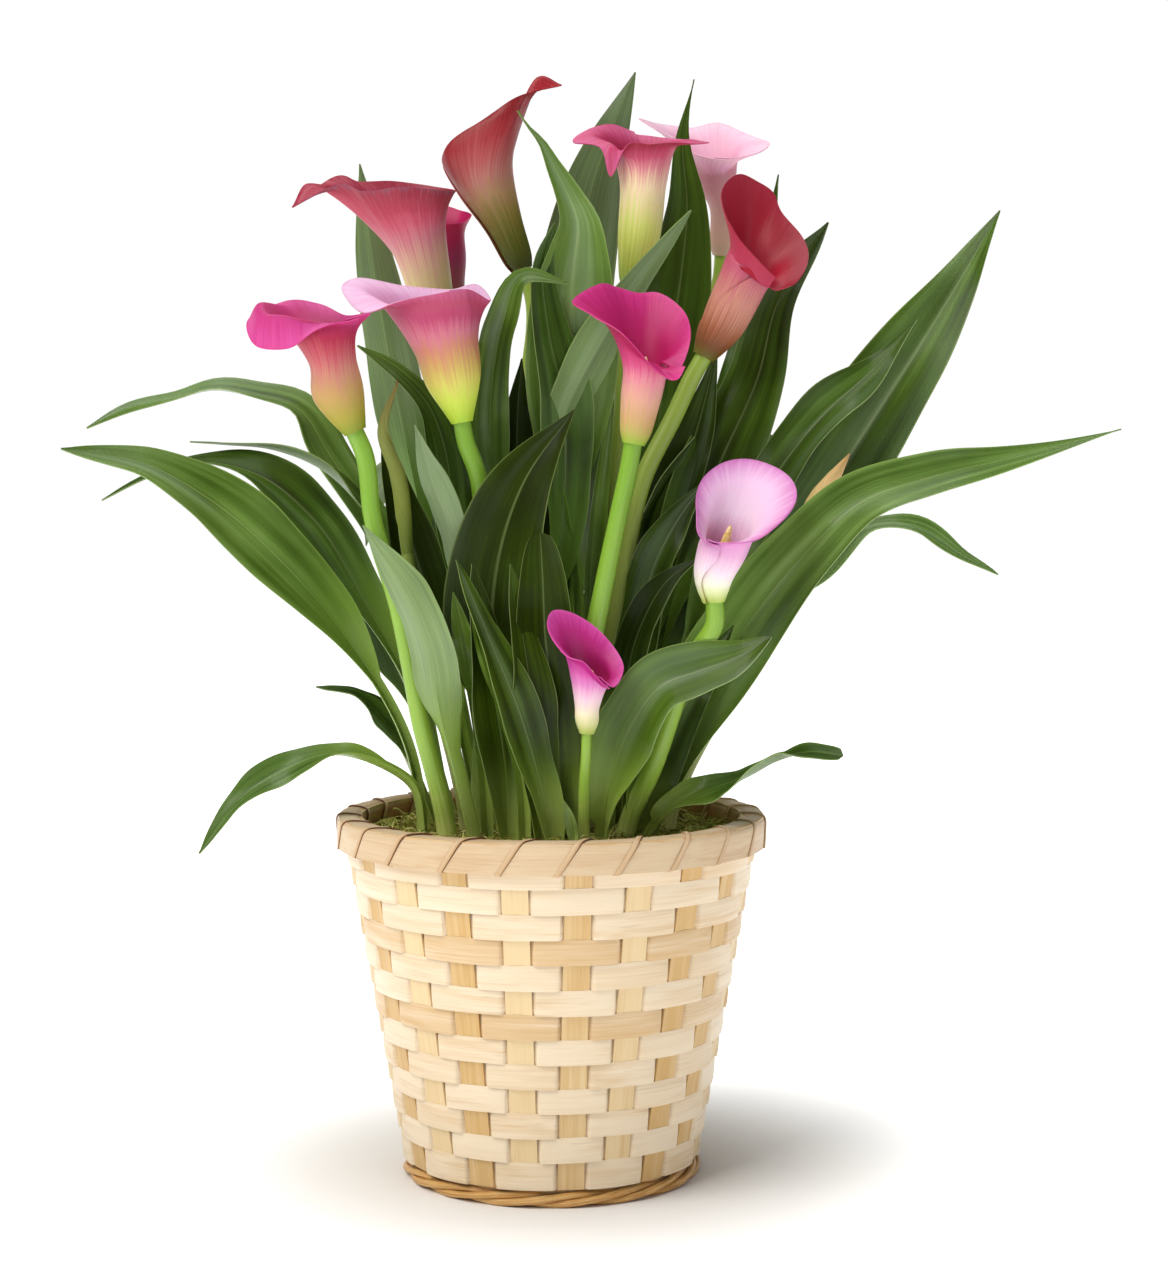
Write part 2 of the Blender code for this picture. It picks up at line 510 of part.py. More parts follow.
def weaver_strip(collection):
    """One splint woven round the odd number of stakes, row upon row.

    It lies flat in front of one stake and behind the next. It climbs a row in a short
    stretch at the back of each turn, and its two ends taper so that the edges are level.
    """
    turns = ROWS + STEP_SHARE
    first = math.ceil((STEP_START + 90.0 - STAKE_TURN) / 360.0 * STAKES)
    stakes = np.arange(1, round(turns * STAKES))
    side = np.tile([-1.0, 1.0], len(stakes))
    stake = np.repeat(stakes, 2)
    swing = np.where(stake % 2 == 0, WEAVER_SWING, -WEAVER_SWING)
    turn = stake / STAKES
    low = ROWS_START + ROW_PITCH * row_climb(turn)
    high = ROWS_START + ROW_PITCH * row_climb(turn + 1.0) - GAP
    angle = stake_angle(stake + first)
    reach = side * (STAKE_WIDTH / 2.0 + WEAVER_REST)
    rings = []
    for z, offset in ((low, -0.5), (low, 0.5), (high, 0.5), (high, -0.5)):
        radius = wall_radius(z) + swing + offset * WEAVER
        x = np.cos(angle) * radius - np.sin(angle) * reach
        y = np.sin(angle) * radius + np.cos(angle) * reach
        rings.append(np.stack([x, y, z], axis=1))
    rings = np.stack(rings, axis=1)
    mesh = mesh_from("weaver_strip", rings.reshape(-1, 3), skin(rings), 60.0)
    return add(collection, "weaver_strip", mesh, WEFT)


def rim(collection):
    """Two hoops that clamp the top of the wall, and the lashing folded over them."""
    low, high = RIM_LOW + LASHING, RIM_TOP - LASHING - GAP
    for name, (inner, outer) in (("rim_hoop_outer", OUTER_HOOP), ("rim_hoop_inner", INNER_HOOP)):
        bow = 0.2 * (outer - inner)
        turned(collection, name, [(outer - bow, high), (outer, (high + low) / 2.0),
                                  (outer - bow, low), (inner, low), (inner, high)], BAMBOO)
    leg_out, leg_in = RIM_RADIUS - LASHING, RIM_INSIDE + LASHING
    turned(collection, "rim_lashing", [
        (RIM_RADIUS - LASHING, RIM_TOP), (RIM_RADIUS, RIM_TOP - LASHING), (RIM_RADIUS, RIM_LOW),
        (leg_out, RIM_LOW), (leg_out, RIM_TOP - LASHING), (leg_in, RIM_TOP - LASHING),
        (leg_in, RIM_LOW), (RIM_INSIDE, RIM_LOW), (RIM_INSIDE, RIM_TOP - LASHING),
        (RIM_INSIDE + LASHING, RIM_TOP)], BAMBOO)


def foot_cord(collection):
    """Strands twisted together in a ring round the bottom of the wall."""
    around = 2.0 * np.pi * np.arange(STRAND_POINTS) / STRAND_POINTS
    for strand in range(FOOT_STRANDS):
        twist = STRAND_TWISTS * around + 2.0 * np.pi * strand / FOOT_STRANDS
        radius = FOOT_RADIUS + STRAND_ORBIT * np.cos(twist)
        points = np.stack([radius * np.cos(around), radius * np.sin(around),
                           FOOT_HEIGHT + STRAND_ORBIT * np.sin(twist)], axis=1)
        tube(collection, f"foot_strand_{strand + 1}", points,
             [STRAND_RADIUS] * STRAND_POINTS, CORD, cyclic=True)


def liner_radius(z):
    """Outer radius of the liner pot at a height."""
    floor = SPLINT + GAP
    return LINER_FOOT + (LINER_RADIUS - LINER_FOOT) * (z - floor) / (LINER_TOP - floor)


def pot(collection):
    """Liner pot on the basket's base, the soil that fills it and the moss on top."""
    floor = SPLINT + GAP
    soil_low = floor + LINER_WALL + GAP
    inset = LINER_WALL + 1.5 * GAP
    turned(collection, "liner_pot", [
        (0.0, floor + LINER_WALL), (liner_radius(floor + LINER_WALL) - LINER_WALL, floor + LINER_WALL),
        (LINER_RADIUS - LINER_WALL, LINER_TOP), (LINER_RADIUS, LINER_TOP), (LINER_FOOT, floor),
        (0.0, floor)], PLASTIC)
    turned(collection, "potting_soil", [
        (0.0, LINER_TOP), (liner_radius(LINER_TOP) - inset, LINER_TOP),
        (liner_radius(soil_low) - inset, soil_low), (0.0, soil_low)], SOIL)
    low = LINER_TOP + GAP
    turned(collection, "moss_top", [
        (0.0, MOSS_TOP), (MOSS_RADIUS - 6.0, MOSS_TOP), (MOSS_RADIUS, low + 1.6),
        (MOSS_RADIUS - 1.0, low), (0.0, low)], MOSS)


def leaf(collection, name, shape):
    """Loft a leaf from a thick channelled stalk to a thin blade with a pointed tip."""
    spine = follow(shoot_points(shape.foot, shape.path, shape.depth), LEAF_STATIONS)
    along = unit(np.gradient(spine, axis=0))
    s = np.linspace(0.0, 1.0, LEAF_STATIONS)
    looks = np.asarray(shape.faces, float)
    at = np.linspace(0.0, 1.0, len(looks))
    look = np.stack([np.interp(s, at, looks[:, i]) for i in range(3)], axis=1)
    side = unit(np.cross(along, look))
    face = np.cross(side, along)
    blade = np.clip((s - shape.start) / (1.0 - shape.start), 0.0, 1.0)
    half = shape.stalk / 2.0 * (1.0 - blade)
    half += (shape.width / 2.0 - half) * np.sin(np.pi * blade ** 0.8).clip(0.0) ** shape.slim
    half[-1] = 0.5
    channel = np.radians(shape.fold + (50.0 - shape.fold) * (1.0 - smooth(blade * 3.0)))
    thick = 0.9 + 2.2 * (1.0 - smooth(s * 1.6))
    rings = []
    for sign in (-1.0, 0.0, 1.0, 0.0):
        rings.append(spine.copy())
        if sign:
            ripple = shape.wave * np.sin(2.0 * np.pi * shape.waves * blade + sign) * smooth(blade * 4.0)
            rise = half * np.sin(channel) + ripple * np.minimum(1.0, half / 8.0)
            rings[-1] += side * (sign * half * np.cos(channel))[:, None] + face * rise[:, None]
    rings[1] += face * (thick / 2.0)[:, None]
    rings[3] -= face * (thick / 2.0)[:, None]
    rings = np.stack(rings, axis=1)
    rings[0, :, 2] = SHOOT_FOOT
    mesh = mesh_from(name, rings.reshape(-1, 3), skin(rings, halved=True), 180.0)
    return add(collection, name, mesh, LEAF)


def tube_middles(shape):
    """Middles of a spathe's base, belly and throat."""
    base = shoot_points(shape.foot, shape.path, shape.depth)[-1]
    return [base] + [shown(x, z, base[1] + y) for x, z, y, _ in (shape.belly, shape.throat)]


def spathe_points(shape, theta, s):
    """Points of a spathe at angles theta, as (columns, rows), and shares s of its length.

    A meridian starts on the base's ring and passes a wider one, those of the belly and
    the throat and the crest, to the edge. Crest and edge are closed curves through limb.
    """
    base, belly, throat = tube_middles(shape)
    middles = (base, base + unit(belly - base) * SPATHE_SHOULDER, belly, throat)
    foot = shape.stem + SPATHE_WALL / 2.0 + STEM_ROOM
    sizes = (foot, foot + SPATHE_SWELL, max(shape.belly[3], foot), shape.throat[3])
    knots = []
    for middle, size, axis in zip(middles, sizes, unit(np.gradient(np.stack(middles), axis=0))):
        right = unit(np.array([1.0, 0.0, 0.0]) - axis * axis[0])
        behind = np.cross(axis, right)
        spoke = np.cos(theta)[..., None] * right + np.sin(theta)[..., None] * behind
        knots.append(middle + size * spoke)
    limb = np.array(shape.limb)
    angles = np.radians(np.concatenate([limb[-3:, 0] - 360.0, limb[:, 0], limb[:3, 0] + 360.0]))
    fine = np.linspace(0.0, 2.0 * np.pi, 361)
    turn = np.mod(theta, 2.0 * np.pi)
    for first in (4, 1):
        line = np.stack([shown(x, z, base[1] + y) for x, z, y in limb[:, first:first + 3]])
        curve = through(angles, np.concatenate([line[-3:], line, line[:3]]), fine)
        knots.append(np.stack([np.interp(turn, fine, curve[:, i]) for i in range(3)], axis=-1))
    return through(np.array(SPATHE_KNOTS), np.stack(knots), s)


def spathe(collection, name, shape):
    """Roll a sheet round the spadix: a funnel whose sides lap and whose edge is a lip.

    Its columns lie at the limb's own angles, and at the same angles in both lapped sides.
    """
    rolls = np.sort((np.array([row[0] for row in shape.limb]) - shape.seam) % 360.0) - 180.0
    sides = np.array(SPATHE_SIDES)
    rolls = rolls[np.abs(rolls) < sides[0] - SPATHE_NEAR]
    rolls = np.radians(np.concatenate([-sides[::-1], rolls, sides]))[:, None]
    s = np.array(SPATHE_ROWS)
    theta = rolls + np.radians(shape.seam - 180.0 + shape.twist * (1.0 - s))
    step = SLOPE_STEP
    near = np.clip(s, step, 1.0 - step)
    across = spathe_points(shape, theta + step, s) - spathe_points(shape, theta - step, s)
    upward = spathe_points(shape, theta, near + step) - spathe_points(shape, theta, near - step)
    inward = unit(np.cross(across, upward))
    lap = SPATHE_LAP * rolls / (2.0 * np.pi)
    grid = spathe_points(shape, theta, s) + inward * lap[..., None]
    columns, rows = grid.shape[:2]
    faces = []
    for i in range(columns - 1):
        for j in range(rows - 1):
            a = i * rows + j
            faces.append((a, a + rows, a + rows + 1, a + 1))
    mesh = bpy.data.meshes.new(name)
    mesh.from_pydata((grid.reshape(-1, 3) * MM).tolist(), [], faces)
    mesh.shade_smooth()
    item = add(collection, name, mesh, shape.finish)
    wall = item.modifiers.new("wall", "SOLIDIFY")
    wall.thickness = SPATHE_WALL * MM
    wall.offset = 0.0
    return item


def rooted(rod):
    """Add a short upright piece at a rod's foot, so that its end stands level."""
    return np.vstack([rod[:1], rod[:1] + [0.0, 0.0, 4.0], rod[1:]])


def flower(collection, number, shape):
    """Stem with its spadix, and the spathe that wraps the top of the stem."""
    base, belly, throat = tube_middles(shape)
    points = shoot_points(shape.foot, shape.path, shape.depth)
    points[-1] = base - unit(belly - base) * STEM_STRAIGHT
    rod = rooted(follow(points, STEM_STATIONS))
    radii = np.linspace(shape.stem + 0.3, shape.stem, len(rod))
    line = follow([base, belly, throat, throat + unit(throat - belly) * shape.spadix], 200)
    run = np.concatenate([[0.0], np.cumsum(np.linalg.norm(np.diff(line, axis=0), axis=1))])
    heights = np.array([*SPADIX_FOOT, (SPADIX_FOOT[1] + shape.spadix) / 2.0,
                        shape.spadix - SPADIX_RADIUS, shape.spadix])
    top = np.stack([np.interp(heights, run, line[:, i]) for i in range(3)], axis=1)
    rod = np.vstack([rod, top])
    radii = np.concatenate([radii, [shape.stem, *np.array(SPADIX_TAPER) * SPADIX_RADIUS]])
    tube(collection, f"flower_stem_{number:02d}", rod, radii, STALK)
    spathe(collection, f"spathe_{number:02d}", shape)


def bud(collection, number, shape):
    """Stem that ends in a closed, pointed bud."""
    axis = unit(np.asarray(shape.axis, float))
    points = shoot_points(shape.foot, shape.path, shape.depth)
    rod = rooted(follow(points, STEM_STATIONS))
    share = np.array([0.2, 0.45, 0.7, 0.9, 1.0])
    swell = np.array([0.8, 1.0, 0.7, 0.3, 0.1]) * shape.radius
    rod = np.vstack([rod, rod[-1] + axis * (shape.length * share)[:, None]])
    radii = np.concatenate([np.full(STEM_STATIONS + 1, shape.stem), swell])
    tube(collection, f"bud_{number:02d}", rod, radii, STALK)


def main():
    """Clear the scene and build every piece."""
    for item in list(bpy.data.objects):
        bpy.data.objects.remove(item, do_unlink=True)
    collection = bpy.data.collections.new("potted_calla_lily")
    bpy.context.scene.collection.children.link(collection)
    splint_frame(collection)
    weaver_strip(collection)
    rim(collection)
    foot_cord(collection)
    pot(collection)
    for number, shape in enumerate(FLOWERS, 1):
        flower(collection, number, shape)
    for number, shape in enumerate(BUDS, 1):
        bud(collection, number, shape)
    for number, shape in enumerate(LEAVES, 1):
        leaf(collection, f"leaf_{number:02d}", shape)


main()
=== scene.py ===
"""Potted calla lily in a splint basket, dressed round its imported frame.

Lengths are in millimetres until a mesh is made. The front of the pot faces -Y and the
plant stands on the middle of the basket's foot.
"""

import logging
import math
from dataclasses import dataclass, field
from enum import Enum
from typing import Any

import bmesh
import bpy
import numpy as np
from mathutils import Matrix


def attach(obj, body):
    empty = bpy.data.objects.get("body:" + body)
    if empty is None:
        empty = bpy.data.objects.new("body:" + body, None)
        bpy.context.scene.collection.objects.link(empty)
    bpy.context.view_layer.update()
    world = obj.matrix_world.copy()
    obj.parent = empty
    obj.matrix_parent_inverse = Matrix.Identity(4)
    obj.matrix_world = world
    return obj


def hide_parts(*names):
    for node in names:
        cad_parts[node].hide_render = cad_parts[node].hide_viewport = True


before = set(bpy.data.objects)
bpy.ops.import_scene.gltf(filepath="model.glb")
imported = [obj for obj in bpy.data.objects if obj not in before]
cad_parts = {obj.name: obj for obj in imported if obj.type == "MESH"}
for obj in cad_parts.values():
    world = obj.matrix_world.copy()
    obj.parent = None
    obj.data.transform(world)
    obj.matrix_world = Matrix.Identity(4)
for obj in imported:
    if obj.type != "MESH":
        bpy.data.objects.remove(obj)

LOG = logging.getLogger("calla_lily")
BODY = "root"
MM = 0.001

VIEW = (14.0, -1123.0, 309.0)  # where the camera stands

# Basket, as the frame's solids have it
STAKES = 21
STAKE_TURN = 8.0               # degrees from the front to the first stake
STAKE_WIDTH = 10.8
WALL_FOOT = 60.4
WALL_SLOPE = 0.18
ROWS = 13
ROW_PITCH = 10.5
ROWS_START = 9.0
STEP_SHARE = 0.25              # share of a turn in which the weaver climbs one row
STEP_START = 55.0              # where that climb starts at the back, in degrees

# Spathes and shoots, as the frame's solids have them
SHOOT_FOOT = 143.3
SPATHE_KNOTS = (0.0, 0.05, 0.2, 0.45, 0.78, 1.0)   # base, shoulder, belly, throat, crest, edge
SPATHE_CLEAR = 1.3             # distance between the sides of a spathe where they lap
SHOULDER = 3.5                 # height of its shoulder above its base

CURVE_STEPS = 481              # points that stand for a smooth curve while it is measured
ROOT_DEPTH = 5.0               # how far a stem goes on below the moss

Stops = tuple[tuple[float, str], ...]
Pair = tuple[float, float]
Triple = tuple[float, float, float]
Quad = tuple[float, float, float, float]


# ---- shapes ----


def smooth(t: np.ndarray | float) -> np.ndarray:
    """Ease from 0 to 1 with level ends."""
    t = np.clip(t, 0.0, 1.0)
    return t * t * (3.0 - 2.0 * t)


def unit(v: np.ndarray) -> np.ndarray:
    """Give the rows of v a length of one."""
    return v / np.linalg.norm(v, axis=-1, keepdims=True)


def waver(t: np.ndarray, seed: int, rates: tuple[float, ...]) -> np.ndarray:
    """Add up sines of the given rates, each with its own phase and a weight that falls.

    Args:
        t: Where to read it.
        seed: Picks the phases.
        rates: Waves for each unit of t, slowest first.

    Returns:
        Values of about -1 to 1 in the shape of t.
    """
    phases = np.random.default_rng(seed).uniform(0.0, 2.0 * np.pi, len(rates))
    total = np.zeros_like(np.asarray(t, float))
    for order, (rate, phase) in enumerate(zip(rates, phases)):
        total += np.sin(2.0 * np.pi * rate * t + phase) / (1.0 + 0.6 * order)
    return total / 1.6


def shown(x: float, z: float, y: float) -> np.ndarray:
    """Point at the depth y that the camera sees where it sees (x, 0, z)."""
    view = np.array(VIEW)
    return view + (np.array([x, 0.0, z]) - view) * (1.0 - y / VIEW[1])


def lengths(points: np.ndarray) -> np.ndarray:
    """Length of the path through rows of points, up to each of them."""
    return np.concatenate(([0.0], np.cumsum(np.linalg.norm(np.diff(points, axis=0), axis=1))))


def sample(at: np.ndarray, run: np.ndarray, points: np.ndarray) -> np.ndarray:
    """Read the path whose rows of points lie at the given runs, at other runs."""
    return np.stack([np.interp(at, run, column) for column in points.T], axis=-1)


def full_turn(count: int) -> np.ndarray:
    """Even angles round a circle, in radians."""
    return 2.0 * np.pi * np.arange(count) / count


def pairs(u: np.ndarray, v: np.ndarray) -> np.ndarray:
    """Put two values side by side at each point of the grid that they span."""
    return np.stack(np.broadcast_arrays(u, v), axis=-1)


def through(knots: np.ndarray, points: np.ndarray, at: np.ndarray) -> np.ndarray:
    """Read a curve through points: a cubic between two, with the mean slope at each.

    Args:
        knots: Where the curve passes each point.
        points: The points, as (knots, ..., 3).
        at: Where to read it; fits the axis before the last of points where there is one.

    Returns:
        Points of the curve.
    """
    slopes = np.gradient(points, knots, axis=0)
    k = np.clip(np.searchsorted(knots, at, side="right") - 1, 0, len(knots) - 2)
    span = (knots[k + 1] - knots[k])[:, None]
    t = (at - knots[k])[:, None] / span
    if points.ndim > 2:
        row = np.arange(len(at))
        pick = [array[index, :, row].swapaxes(0, 1)
                for array in (points, slopes) for index in (k, k + 1)]
    else:
        pick = [array[index] for array in (points, slopes) for index in (k, k + 1)]
    start, end, start_slope, end_slope = pick
    return ((1 + 2 * t) * (1 - t) ** 2 * start + t * (1 - t) ** 2 * span * start_slope
            + t * t * (3 - 2 * t) * end + t * t * (t - 1) * span * end_slope)


def follow(points: np.ndarray, count: int) -> np.ndarray:
    """Sample the curve of "through" at even steps of its length.

    Args:
        points: The points it passes through.
        count: How many samples to take.

    Returns:
        Samples, one row each.
    """
    knots = lengths(points)
    curve = through(knots, points, np.linspace(0.0, knots[-1], CURVE_STEPS))
    run = lengths(curve)
    return sample(np.linspace(0.0, run[-1], count), run, curve)


def shoot_points(foot: Pair, path: tuple[Pair, ...], depth: Pair) -> np.ndarray:
    """Give a shoot's front-view points their depth.

    The depth is a parabola in the share of the length: from the foot's own depth, bent by
    the middle depth, to the depth of the end.

    Args:
        foot: Where it leaves the moss, as (x, y).
        path: Points above it, as (x, z).
        depth: Depth that bends the middle, and depth of the end.

    Returns:
        Points in space.
    """
    line = np.array([(foot[0], SHOOT_FOOT)] + list(path), float)
    run = lengths(line)
    s = run / run[-1]
    y = (1 - s) ** 2 * foot[1] + 2 * s * (1 - s) * depth[0] + s * s * depth[1]
    return np.stack([line[:, 0], y, line[:, 1]], axis=1)


def spread(value: np.ndarray | float, rows: int, columns: int) -> np.ndarray:
    """Give each point of a grid its own value, a number or a pair, as one row."""
    value = np.asarray(value, float)
    return np.broadcast_to(value, (rows, columns, *value.shape[2:])).reshape(rows * columns, -1)


@dataclass
class Shell:
    """A closed skin being put together: its points, its faces and what each point carries."""

    points: np.ndarray
    quads: np.ndarray
    tris: np.ndarray = field(default_factory=lambda: np.zeros((0, 3), int))
    values: dict[str, np.ndarray] = field(default_factory=dict)

    @staticmethod
    def slab(top: np.ndarray, under: np.ndarray, **values: np.ndarray | float) -> "Shell":
        """Close the space between two grids of rows and columns with a wall at the edge.

        Args:
            top: Points of the face, as (rows, columns, 3).
            under: Points of the other face, in the same shape.
            **values: What the points carry, in a shape that spreads over the grid.

        Returns:
            The skin, with a value "under" that is 0 on the face and 1 below.
        """
        rows, columns = top.shape[:2]
        total = rows * columns
        index = np.arange(total).reshape(rows, columns)
        corners = (index[:-1, :-1], index[:-1, 1:], index[1:, 1:], index[1:, :-1])
        face = np.stack(corners, axis=-1).reshape(-1, 4)
        edge = np.concatenate([index[0], index[1:, -1], index[-1, -2::-1], index[-2:0:-1, 0]])
        after = np.roll(edge, -1)
        wall = np.stack([edge, edge + total, after + total, after], axis=1)
        carried = {key: np.concatenate([spread(value, rows, columns)] * 2)
                   for key, value in values.items()}
        carried["under"] = np.repeat([0.0, 1.0], total)[:, None]
        return Shell(np.concatenate([top.reshape(-1, 3), under.reshape(-1, 3)]),
                     np.concatenate([face, face[:, ::-1] + total, wall]), values=carried)

    @staticmethod
    def tube(rings: np.ndarray, looped: bool = False, **values: np.ndarray | float) -> "Shell":
        """Join rings of points into a tube, and draw each end to the middle of its ring.

        Args:
            rings: Points as (stations, around, 3).
            looped: The last ring joins the first instead, and there are no ends.
            **values: What the points carry, in a shape that spreads over the rings.

        Returns:
            The skin.
        """
        stations, around = rings.shape[:2]
        total = stations * around
        index = np.arange(total).reshape(stations, around)
        side = np.roll(index, -1, axis=1)
        points = rings.reshape(-1, 3)
        carried = {key: spread(value, stations, around) for key, value in values.items()}
        if looped:
            ahead, side_ahead = np.roll(index, -1, axis=0), np.roll(side, -1, axis=0)
            quads = np.stack([index, side, side_ahead, ahead], axis=-1).reshape(-1, 4)
            return Shell(points, quads, values=carried)
        quads = np.stack([index[:-1], side[:-1], side[1:], index[1:]], axis=-1).reshape(-1, 4)
        points = np.concatenate([points, rings[[0, -1]].mean(axis=1)])
        carried = {key: np.concatenate([value, value[index[0]].mean(axis=0, keepdims=True),
                                        value[index[-1]].mean(axis=0, keepdims=True)])
                   for key, value in carried.items()}
        first = np.stack([np.full(around, total), side[0], index[0]], axis=1)
        last = np.stack([np.full(around, total + 1), index[-1], side[-1]], axis=1)
        return Shell(points, quads, np.concatenate([first, last]), carried)

    @staticmethod
    def joined(shells: list["Shell"]) -> "Shell":
        """Put several skins that carry the same values into one.

        Args:
            shells: The skins.

        Returns:
            The one skin.
        """
        starts = np.cumsum([0] + [len(shell.points) for shell in shells])
        return Shell(np.concatenate([shell.points for shell in shells]),
                     np.concatenate([shell.quads + start for shell, start in zip(shells, starts)]),
                     np.concatenate([shell.tris + start for shell, start in zip(shells, starts)]),
                     {key: np.concatenate([shell.values[key] for shell in shells])
                      for key in shells[0].values})

    def mesh(self, name: str, crease: float) -> bpy.types.Mesh:
        """Make the mesh in metres, with its faces turned outward.

        Args:
            name: Name of the mesh.
            crease: Angle in degrees above which an edge stays sharp.

        Returns:
            The mesh, with a map "strip" from the value "uv" and an attribute for each other.
        """
        corners = np.concatenate([self.quads.ravel(), self.tris.ravel()])
        sizes = np.repeat([4, 3], [len(self.quads), len(self.tris)])
        mesh = bpy.data.meshes.new(name)
        mesh.vertices.add(len(self.points))
        mesh.vertices.foreach_set("co", (self.points * MM).ravel())
        mesh.loops.add(len(corners))
        mesh.loops.foreach_set("vertex_index", corners)
        mesh.polygons.add(len(sizes))
        mesh.polygons.foreach_set("loop_start", np.cumsum(sizes) - sizes)
        mesh.update(calc_edges=True)
        for key, value in self.values.items():
            if key == "uv":
                layer = mesh.uv_layers.new(name="strip")
                layer.data.foreach_set("uv", value[corners].ravel())
            else:
                attribute = mesh.attributes.new(key, "FLOAT", "POINT")
                attribute.data.foreach_set("value", value.ravel())
        work = bmesh.new()
        work.from_mesh(mesh)
        bmesh.ops.recalc_face_normals(work, faces=work.faces)
        work.to_mesh(mesh)
        work.free()
        mesh.shade_smooth()
        mesh.set_sharp_from_angle(angle=math.radians(crease))
        return mesh


def rings(path: np.ndarray, across: np.ndarray, up: np.ndarray, radii: np.ndarray,
          sides: int) -> np.ndarray:
    """Set a ring about each point of a path: across times cosine plus up times sine.

    Args:
        path: Middles of the rings, as (..., 3).
        across: Where each ring starts, as directions that fit the path.
        up: Directions a quarter turn on.
        radii: Radii, as (..., 1) or (..., sides).
        sides: Points in a ring.

    Returns:
        Points as (..., sides, 3).
    """
    turn = full_turn(sides)
    return (path[..., None, :] + across[..., None, :] * (np.cos(turn) * radii)[..., None]
            + up[..., None, :] * (np.sin(turn) * radii)[..., None])


def rod(points: np.ndarray, radii: np.ndarray, sides: int) -> np.ndarray:
    """Set a ring square to a path at each of its stations.

    Args:
        points: The path, which never runs straight to the back.
        radii: Radius at each station, as (stations,) or (stations, sides).
        sides: Points in a ring.

    Returns:
        Rings as (stations, sides, 3).
    """
    along = unit(np.gradient(points, axis=0))
    across = unit(np.cross(along, np.array([0.0, 1.0, 0.0])))
    radii = radii[:, None] if radii.ndim == 1 else radii
    return rings(points, across, np.cross(across, along), radii, sides)


def folded(sides: int) -> np.ndarray:
    """Share of the way out and back round a ring, so that a map on it shows no seam."""
    return 1.0 - np.abs(np.linspace(-1.0, 1.0, sides, endpoint=False))


def linked(name: str, data: bpy.types.ID) -> bpy.types.Object:
    """Put an object with the given data in the scene.

    Args:
        name: Name of the object.
        data: Its mesh, light or camera.

    Returns:
        The object.
    """
    item = bpy.data.objects.new(name, data)
    bpy.context.scene.collection.objects.link(item)
    return item


def place(name: str, shell: Shell, finish: bpy.types.Material, slot: str,
          nodes: tuple[str, ...] = (), crease: float = 60.0) -> None:
    """Put a skin in the scene as a piece that rides on the pot.

    Args:
        name: Name of the piece.
        shell: Its skin.
        finish: Its material.
        slot: Not used.
        nodes: Solids of the frame that it stands for.
        crease: Angle in degrees above which an edge stays sharp.
    """
    mesh = shell.mesh(name, crease)
    mesh.materials.append(finish)
    piece = linked(name, mesh)
    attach(piece, BODY)
    if nodes:
        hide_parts(*nodes)
    LOG.info("%s: %d faces", name, len(mesh.polygons))


def dress(node: str, finish: bpy.types.Material) -> None:
    """Give a solid of the frame its finish.

    Args:
        node: Name of the solid's node.
        finish: Its material.
    """
    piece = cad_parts[node]
    piece.data.materials.clear()
    piece.data.materials.append(finish)
    LOG.info("%s: dressed", node)


# ---- finishes ----


def linear(code: str) -> tuple[float, float, float, float]:
    """Turn a colour such as "#C8A060" into the linear values that a shader takes.

    Args:
        code: The colour.

    Returns:
        Red, green, blue and an alpha of one.
    """
    shown = np.array([int(code[i:i + 2], 16) for i in (1, 3, 5)]) / 255.0
    value = np.where(shown <= 0.04045, shown / 12.92, ((shown + 0.055) / 1.055) ** 2.4)
    return (*value.tolist(), 1.0)


class Wire:
    """An output socket that takes part in sums; each one adds a Math node."""

    def __init__(self, graph: "Graph", socket: bpy.types.NodeSocket) -> None:
        """Keep the socket and the graph it is in."""
        self.graph = graph
        self.socket = socket

    def __add__(self, other: "Wire | float") -> "Wire":
        """Add, from either side."""
        return self.graph.math("ADD", self, other)

    def __sub__(self, other: "Wire | float") -> "Wire":
        """Take away."""
        return self.graph.math("SUBTRACT", self, other)

    def __rsub__(self, other: float) -> "Wire":
        """Take from a number."""
        return self.graph.math("SUBTRACT", other, self)

    def __mul__(self, other: "Wire | float") -> "Wire":
        """Multiply, from either side."""
        return self.graph.math("MULTIPLY", self, other)

    __radd__ = __add__
    __rmul__ = __mul__


